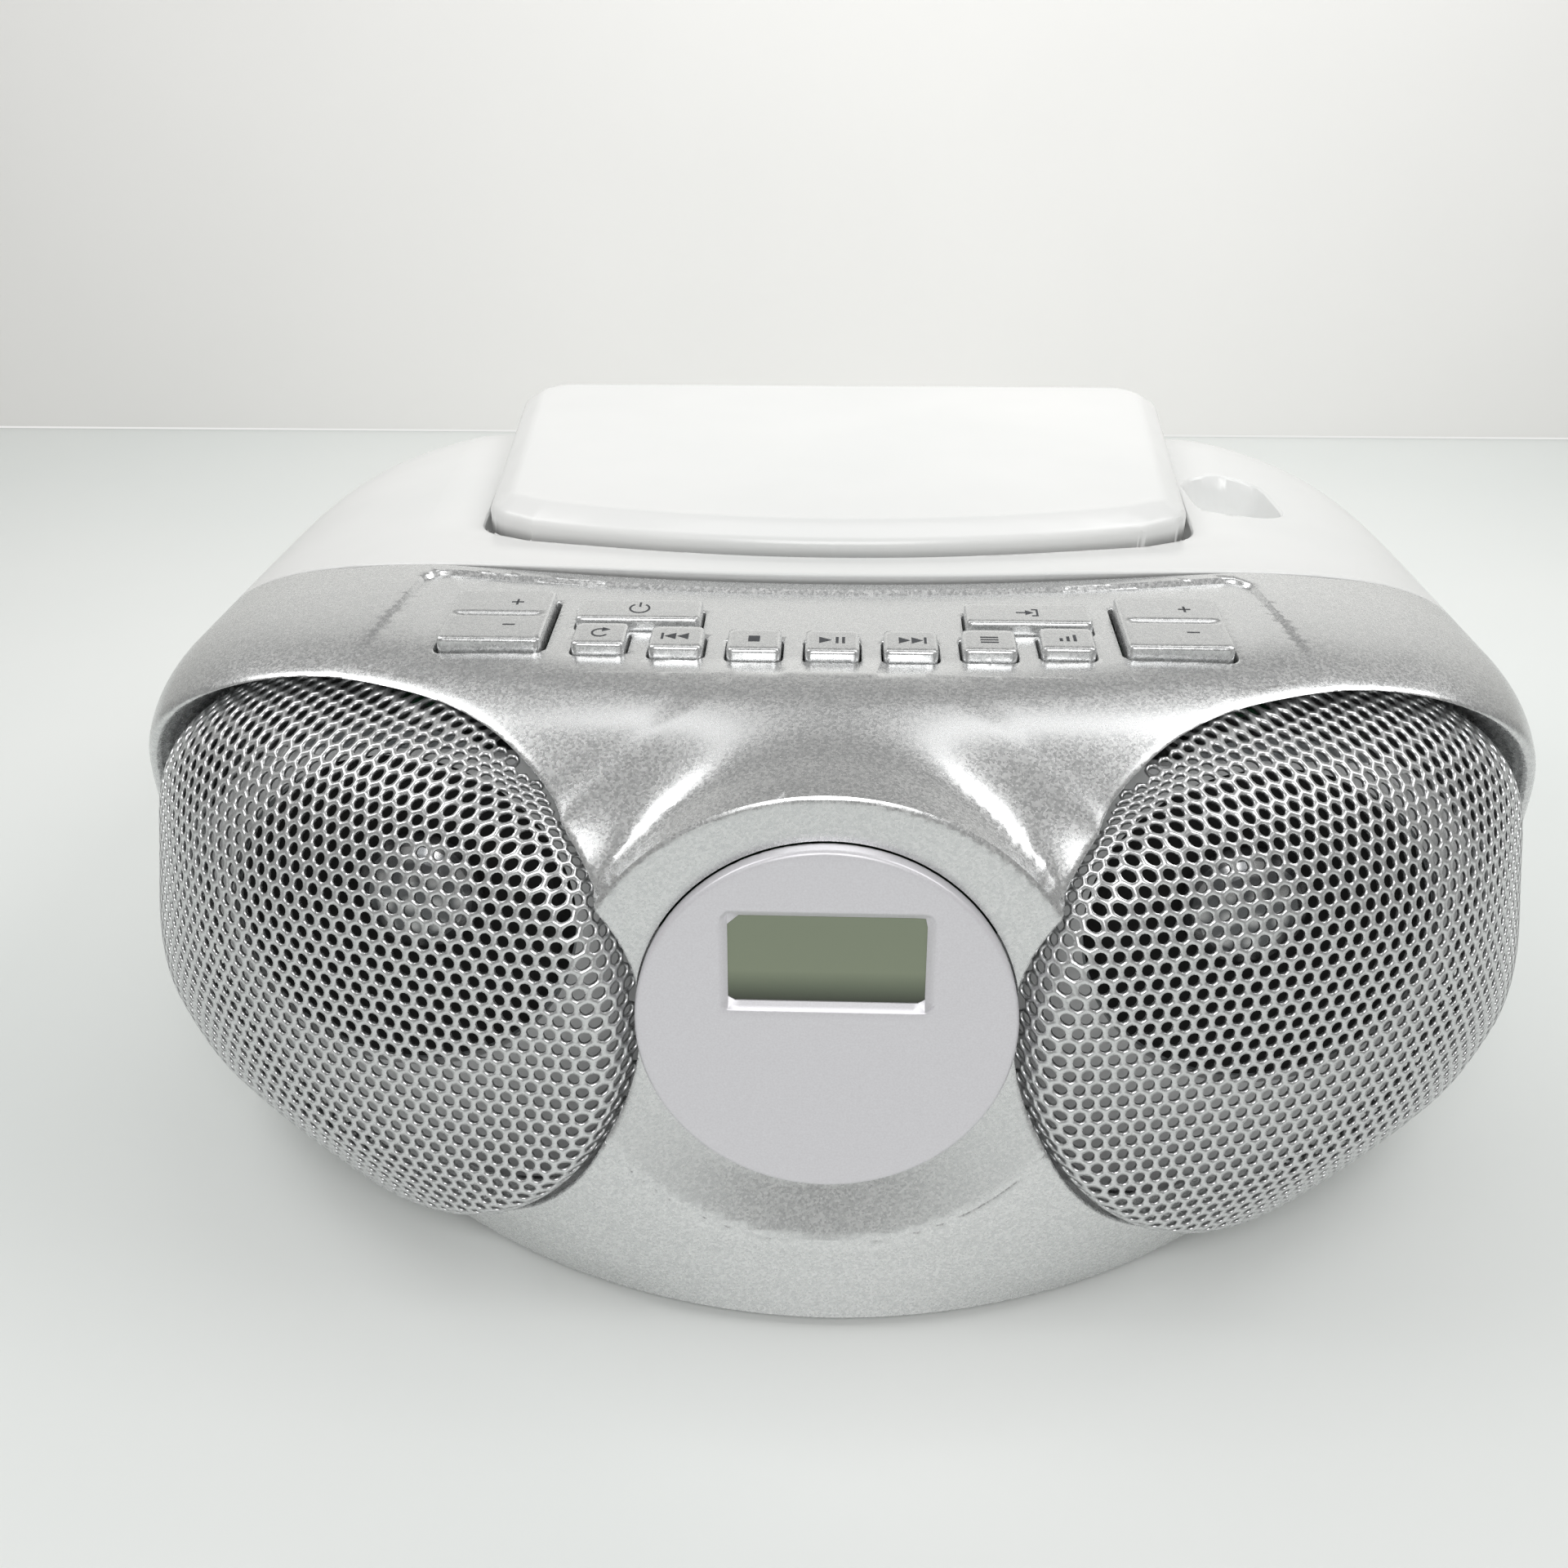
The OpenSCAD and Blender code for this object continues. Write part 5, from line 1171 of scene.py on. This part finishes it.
def makeKey(node, body):
    keyX, keyY, width, depth = keyPlaces[node][:4]
    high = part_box(node)[1]
    top = float((np.array([0.0, high[1] / mm, high[2] / mm]) - panelOrigin) @ panelUp)
    rocker = node.endswith("rocker")

    def edge(p):
        return boxDistance(p[:, 0], p[:, 1], width / 2, depth / 2, keys["corner"])
    levels = [-v for v in lipLevels(keys["fillet"])[:-1]]
    spanX = (-width / 2 - 0.5, width / 2 + 0.5)
    spanY = (-depth / 2 - 0.5, depth / 2 + 0.5)
    shell = plateShell(spanX, spanY, 1.0, edge, levels)
    half = keys["grooveHalf"]
    if rocker:
        shell.score(lambda p: p[:, 1], (half, half / 2, -half / 2, -half))
    inside = -edge(shell.points)
    groove = 0.0
    if rocker:
        valley = np.clip(1 - np.abs(shell.points[:, 1]) / half, 0, 1)
        groove = keys["groove"] * valley * smoothStep(1.0, 2.2, inside)
    shell.points[:, 2] = top - lipSink(inside, keys["fillet"]) - groove
    shell.wall("edge", lambda p: p - np.array([0.0, 0.0, keys["skirt"]]))
    points, faces = list(shell.points), [list(f) for f in shell.faces]
    slots = [0] * len(faces)
    for polygon in signs[node]:
        start = len(points)
        points += [np.array([x, y, top + keys["inkRise"]]) for x, y in polygon]
        faces.append(list(range(start, start + len(polygon))))
        slots.append(1)
    origin = panelOrigin + keyX * across + keyY * panelBack
    place = toPlace(np.array(points), origin, across, panelBack, panelUp)
    name = "".join(word.capitalize() if i else word for i, word in enumerate(node.split("_")))
    piece = makePiece(name, place, faces, [stuff["silver"], stuff["ink"]], 35, slots)
    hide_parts(node)
    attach(piece, body)


for node in keyPlaces:
    makeKey(node, node + "_body")
print("keys made")

# the punched grilles
sheet = {"pitch": 3.3, "hole": 2.44, "thick": 0.8, "proud": 5.0, "sunk": 7.0, "shoulderIn": 4.0,
         "shoulderOut": 9.0, "wall": 4.5, "clear": 0.9}


def punchedTree():
    # one six-sided cell with a round hole on every point of the lattice
    tree = bpy.data.node_groups.new("punchedSheet", "GeometryNodeTree")
    sockets = {}
    for name, kind, way in (("Geometry", "NodeSocketGeometry", "INPUT"),
                            ("Pitch", "NodeSocketFloat", "INPUT"),
                            ("Hole", "NodeSocketFloat", "INPUT"),
                            ("Sheet", "NodeSocketMaterial", "INPUT"),
                            ("Geometry", "NodeSocketGeometry", "OUTPUT")):
        sockets[name] = tree.interface.new_socket(name, in_out=way, socket_type=kind).identifier
    given = addNode(tree, "NodeGroupInput")
    side = addNode(tree, "ShaderNodeMath", {"operation": "DIVIDE"}, {1: math.sqrt(3)},
                   {0: given.outputs["Pitch"]})
    bore = addNode(tree, "ShaderNodeMath", {"operation": "DIVIDE"}, {1: 2.0}, {0: given.outputs["Hole"]})
    hexagon = addNode(tree, "GeometryNodeCurvePrimitiveCircle", {"mode": "RADIUS"}, {"Resolution": 6},
                      {"Radius": side.outputs[0]})
    turned = addNode(tree, "GeometryNodeTransform", values={"Rotation": (0, 0, math.radians(30))},
                     links={"Geometry": hexagon.outputs["Curve"]})
    circle = addNode(tree, "GeometryNodeCurvePrimitiveCircle", {"mode": "RADIUS"}, {"Resolution": 12},
                     {"Radius": bore.outputs[0]})
    both = addNode(tree, "GeometryNodeJoinGeometry")
    tree.links.new(turned.outputs[0], both.inputs[0])
    tree.links.new(circle.outputs["Curve"], both.inputs[0])
    cell = addNode(tree, "GeometryNodeFillCurve", {"mode": "TRIANGLES"}, links={"Curve": both.outputs[0]})
    placed = addNode(tree, "GeometryNodeInstanceOnPoints",
                     links={"Points": given.outputs["Geometry"], "Instance": cell.outputs[0]})
    real = addNode(tree, "GeometryNodeRealizeInstances", links={"Geometry": placed.outputs[0]})
    merged = addNode(tree, "GeometryNodeMergeByDistance", values={"Distance": 0.02},
                     links={"Geometry": real.outputs[0]})
    dressed = addNode(tree, "GeometryNodeSetMaterial",
                      links={"Geometry": merged.outputs[0], "Material": given.outputs["Sheet"]})
    addNode(tree, "NodeGroupOutput", links={0: dressed.outputs[0]})
    return tree, sockets


def podSurface(u, v, grow):
    # distance along the pod's axis to the form, grown by the given amount
    low, high = np.full(len(u), 60.0), np.full(len(u), 220.0)
    for _ in range(26):
        mid = (low + high) / 2
        p = np.stack([u * podAcross[0] + mid * podOut[0], u * podAcross[1] + mid * podOut[1], v], 1)
        inside = insideForm(p, grow) < 0
        low, high = np.where(inside, mid, low), np.where(inside, high, mid)
    return low


def arcTable(values, alongU):
    # length along the dome from its middle, for each place across or up the pod
    u = values + pods["u"] if alongU else np.full(len(values), pods["u"])
    v = np.full(len(values), pods["v"]) if alongU else values + pods["v"]
    w = podSurface(u, v, 2.0)
    length = np.concatenate([[0], np.cumsum(np.hypot(np.diff(values), np.diff(w)))])
    return length - np.interp(0, values, length)


def outness(u, v):
    # grows towards the upper outer corner of the pod
    wide = np.where(u < 0, pods["inner"], pods["outer"])
    return 0.75 * u / wide + 0.75 * v / pods["high"]


def shoulderRadius(u, v):
    widening = smoothStep(-0.2, 0.9, outness(u, v))
    return sheet["shoulderIn"] + (sheet["shoulderOut"] - sheet["shoulderIn"]) * widening


def makeGrilles():
    tree, sockets = punchedTree()
    reachU = np.linspace(-pods["inner"], pods["outer"], 120)
    reachV = np.linspace(-pods["high"], pods["high"], 90)
    lengthU, lengthV = arcTable(reachU, True), arcTable(reachV, False)
    spare = sheet["wall"] + 5

    def unroll(a, b):
        # from lengths along the dome to places across and up the pod, straight on past its edge
        places = []
        for t, length, reach in ((a, lengthU, reachU), (b, lengthV, reachV)):
            past = np.clip(t - length[-1], 0, None)
            places.append(np.interp(t, length, reach) + past + np.clip(t - length[0], None, 0))
        return places
    pitch = sheet["pitch"]
    rowPitch = pitch * 0.866
    rows = np.arange(int((lengthV[0] - spare) / rowPitch), int((lengthV[-1] + spare) / rowPitch) + 1)
    columns = np.arange(int((lengthU[0] - spare) / pitch), int((lengthU[-1] + spare) / pitch) + 1)
    r, c = np.meshgrid(rows, columns, indexing="ij")
    a = ((c + 0.5 * (r % 2)) * pitch).ravel()
    b = (r * pitch * math.sqrt(3) / 2).ravel()
    u, v = unroll(a, b)
    kept = outlineSpan(u, v) < shoulderRadius(u, v) * (math.pi / 2 - 1) + sheet["wall"]
    seeds = bpy.data.meshes.new("latticePoints")
    seeds.from_pydata(np.stack([a[kept], b[kept], np.zeros(kept.sum())], 1).tolist(), [], [])
    holder = bpy.data.objects.new("latticePoints", seeds)
    scene.collection.objects.link(holder)
    nodes = holder.modifiers.new("Punch", "NODES")
    nodes.node_group = tree
    nodes[sockets["Pitch"]] = pitch
    nodes[sockets["Hole"]] = sheet["hole"]
    nodes[sockets["Sheet"]] = stuff["grille"]
    bpy.context.view_layer.update()
    flat = bpy.data.meshes.new_from_object(holder.evaluated_get(bpy.context.evaluated_depsgraph_get()))
    bpy.data.objects.remove(holder)
    place = np.zeros(len(flat.vertices) * 3)
    flat.vertices.foreach_get("co", place)
    place = place.reshape(-1, 3)
    faces = np.array([list(f.vertices) for f in flat.polygons])
    bpy.data.meshes.remove(flat)
    u, v = unroll(place[:, 0], place[:, 1])
    # near the pod's edge the sheet bends over a round shoulder and runs down as a wall
    radius = shoulderRadius(u, v)
    span = outlineSpan(u, v)
    small = 0.2
    outU = outlineSpan(u + small, v) - outlineSpan(u - small, v)
    outV = outlineSpan(u, v + small) - outlineSpan(u, v - small)
    size = np.maximum(np.hypot(outU, outV), 1e-9)
    turn = np.clip((radius + span) / radius, 0, None)
    bend = np.minimum(turn, math.pi / 2)
    inset = np.where(turn > 0, radius - radius * np.sin(bend), -span) + sheet["clear"]
    shift = np.where(turn > 0, inset + span, sheet["clear"] * smoothStep(-25, 0, span))
    drop = radius * (1 - np.cos(bend)) + np.maximum(0, turn - math.pi / 2) * radius
    u, v = u - outU / size * shift, v - outV / size * shift
    grow = sheet["proud"] - sheet["sunk"] * smoothStep(0.15, 1.0, outness(u, v))
    # the form is met once for each tenth of a millimetre of growth
    w = np.zeros(len(u))
    for level in np.unique(np.round(grow, 1)):
        chosen = np.abs(grow - level) < 0.0501
        w[chosen] = podSurface(u[chosen] + pods["u"], v[chosen] + pods["v"], grow[chosen])
    w -= drop
    points = np.stack([(u + pods["u"]) * podAcross[0] + w * podOut[0],
                       (u + pods["u"]) * podAcross[1] + w * podOut[1], v + pods["v"]], 1)
    for side, name, node in ((1, "rightGrille", "right_grille"), (-1, "leftGrille", "left_grille")):
        mesh = points * (side, 1, 1)
        order = faces if side > 0 else faces[:, ::-1]
        p = mesh[order]
        facing = np.cross(p[:, 1] - p[:, 0], p[:, 2] - p[:, 0]).sum(0) @ (podOut * (side, 1, 1))
        piece = makePiece(name, mesh, order if facing > 0 else order[:, ::-1], stuff["grille"], 40)
        giveThickness(piece, sheet["thick"])
        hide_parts(node)
        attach(piece, "cabinet")
    print("grilles made", len(faces))


makeGrilles()

# finishes of the pieces kept from the frame
finishes = {
    "grey": ["left_baffle", "right_baffle"],
    "steel": ["left_speaker_frame", "right_speaker_frame", "spindle_motor", "sled_motor", "transformer",
              "cabinet_screws", "speaker_screws"],
    "paper": ["left_speaker_cone", "right_speaker_cone"],
    "cap": ["left_dust_cap", "right_dust_cap"],
    "ferrite": ["left_speaker_magnet", "right_speaker_magnet"],
    "white": ["lid_hinge_arms", "lid_hinge_brackets"],
    "pin": ["lid_hinge_pins", "pickup_guide_rods"],
    "black": ["turntable_hub", "mechanism_chassis", "laser_pickup", "mains_inlet", "aux_jack",
              "headphone_jack", "aerial_base", "rocker_saddles", "lcd_module"],
    "well": ["sled_gear", "sled_pinion"],
    "rubber": ["rubber_dampers", "rubber_feet"],
    "board": ["main_board", "key_board"],
    "brass": ["battery_contacts"],
    "chrome": ["aerial_knuckle", "aerial_tube", "aerial_mid_section", "aerial_tip_section"],
}
for finish, names in finishes.items():
    for name in names:
        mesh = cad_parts[name].data
        mesh.materials.clear()
        mesh.materials.append(stuff[finish])
print("finishes set")

# stage, light and camera
stage = {"wallY": 443.0, "top": 430.0, "half": 1500, "near": -1200, "soft": 0.34, "seen": 1.0,
         "lens": 34.575, "camera": (1.3, -321.7, 232.6), "pitch": 30.0, "yaw": 2.33, "roll": -0.27}
# each lamp's place, what it aims at, its size in millimetres and its power in watts
lamps = {
    "leftBox": ((-460, 20, 600), (0, -60, 60), 300, 1.15),
    "rightBox": ((490, 20, 640), (0, -60, 60), 380, 1.4),
    "wallBox": ((60, 60, 480), (60, 443, 280), 400, 0.95),
    "tableBox": ((0, -700, 620), (0, -330, 0), 420, 2.9),
}


def plane(name, corners, material):
    piece = makePiece(name, np.array(corners, float), [(0, 1, 2, 3)], material)
    return piece


def oneSided(material):
    # a backdrop sheet that is there only from its front
    tree = material.node_tree
    shader = tree.nodes["Principled BSDF"]
    behind = addNode(tree, "ShaderNodeNewGeometry").outputs["Backfacing"]
    clear = addNode(tree, "ShaderNodeBsdfTransparent")
    mixed = addNode(tree, "ShaderNodeMixShader", links={0: behind, 1: shader.outputs[0], 2: clear.outputs[0]})
    tree.links.new(mixed.outputs[0], tree.nodes["Material Output"].inputs["Surface"])
    return material


def makeStage():
    floor = oneSided(mottled("paleTable", "E9EDEB", "F0F2F0", 300.0, 0.42, 0.5))
    wall = oneSided(mottled("paleWall", "EEEDEB", "F3F2F0", 300.0, 0.7, 0.8))
    y, half, near, top = stage["wallY"], stage["half"], stage["near"], stage["top"]
    plane("table", [(-half, near, 0), (half, near, 0), (half, y, 0), (-half, y, 0)], floor)
    plane("backWall", [(-half, y, 1), (half, y, 1), (half, y, top), (-half, y, top)], wall)
    world = bpy.data.worlds.new("studio")
    world.use_nodes = True
    tree = world.node_tree
    soft = tree.nodes["Background"]
    soft.inputs["Color"].default_value = linear("EEEEEC")
    soft.inputs["Strength"].default_value = stage["soft"]
    # what the camera sees past the backdrop, brighter than what lights the radio
    seen = addNode(tree, "ShaderNodeBackground",
                   values={"Color": linear("ECECEA"), "Strength": stage["seen"]})
    ray = addNode(tree, "ShaderNodeLightPath").outputs["Is Camera Ray"]
    mixed = addNode(tree, "ShaderNodeMixShader", links={0: ray, 1: soft.outputs[0], 2: seen.outputs[0]})
    tree.links.new(mixed.outputs[0], tree.nodes["World Output"].inputs["Surface"])
    scene.world = world
    for name, (place, aimAt, size, power) in lamps.items():
        lamp = bpy.data.lights.new(name, "AREA")
        lamp.size = size * mm
        lamp.energy = power
        holder = bpy.data.objects.new(name, lamp)
        holder.location = Vector(place) * mm
        aim = Vector(aimAt) * mm - holder.location
        holder.rotation_euler = aim.to_track_quat("-Z", "Y").to_euler()
        scene.collection.objects.link(holder)


def makeCamera():
    lens = bpy.data.cameras.new("camera")
    lens.lens = stage["lens"]
    lens.sensor_width = 36.0
    lens.clip_end = 20.0
    holder = bpy.data.objects.new("camera", lens)
    holder.location = Vector(stage["camera"]) * mm
    pitch, yaw, roll = (math.radians(stage[k]) for k in ("pitch", "yaw", "roll"))
    forward = Vector((-math.sin(yaw) * math.cos(pitch), math.cos(yaw) * math.cos(pitch), -math.sin(pitch)))
    right = forward.cross(Vector((0, 0, 1))).normalized()
    up = right.cross(forward)
    tilted = right * math.cos(roll) + up * math.sin(roll)
    upward = tilted.cross(forward)
    turned = Matrix((tilted, upward, -forward)).transposed().to_4x4()
    holder.matrix_world = Matrix.Translation(Vector(stage["camera"]) * mm) @ turned
    scene.collection.objects.link(holder)
    scene.camera = holder


makeStage()
makeCamera()
scene.view_settings.view_transform = "Standard"
print("stage and camera set")
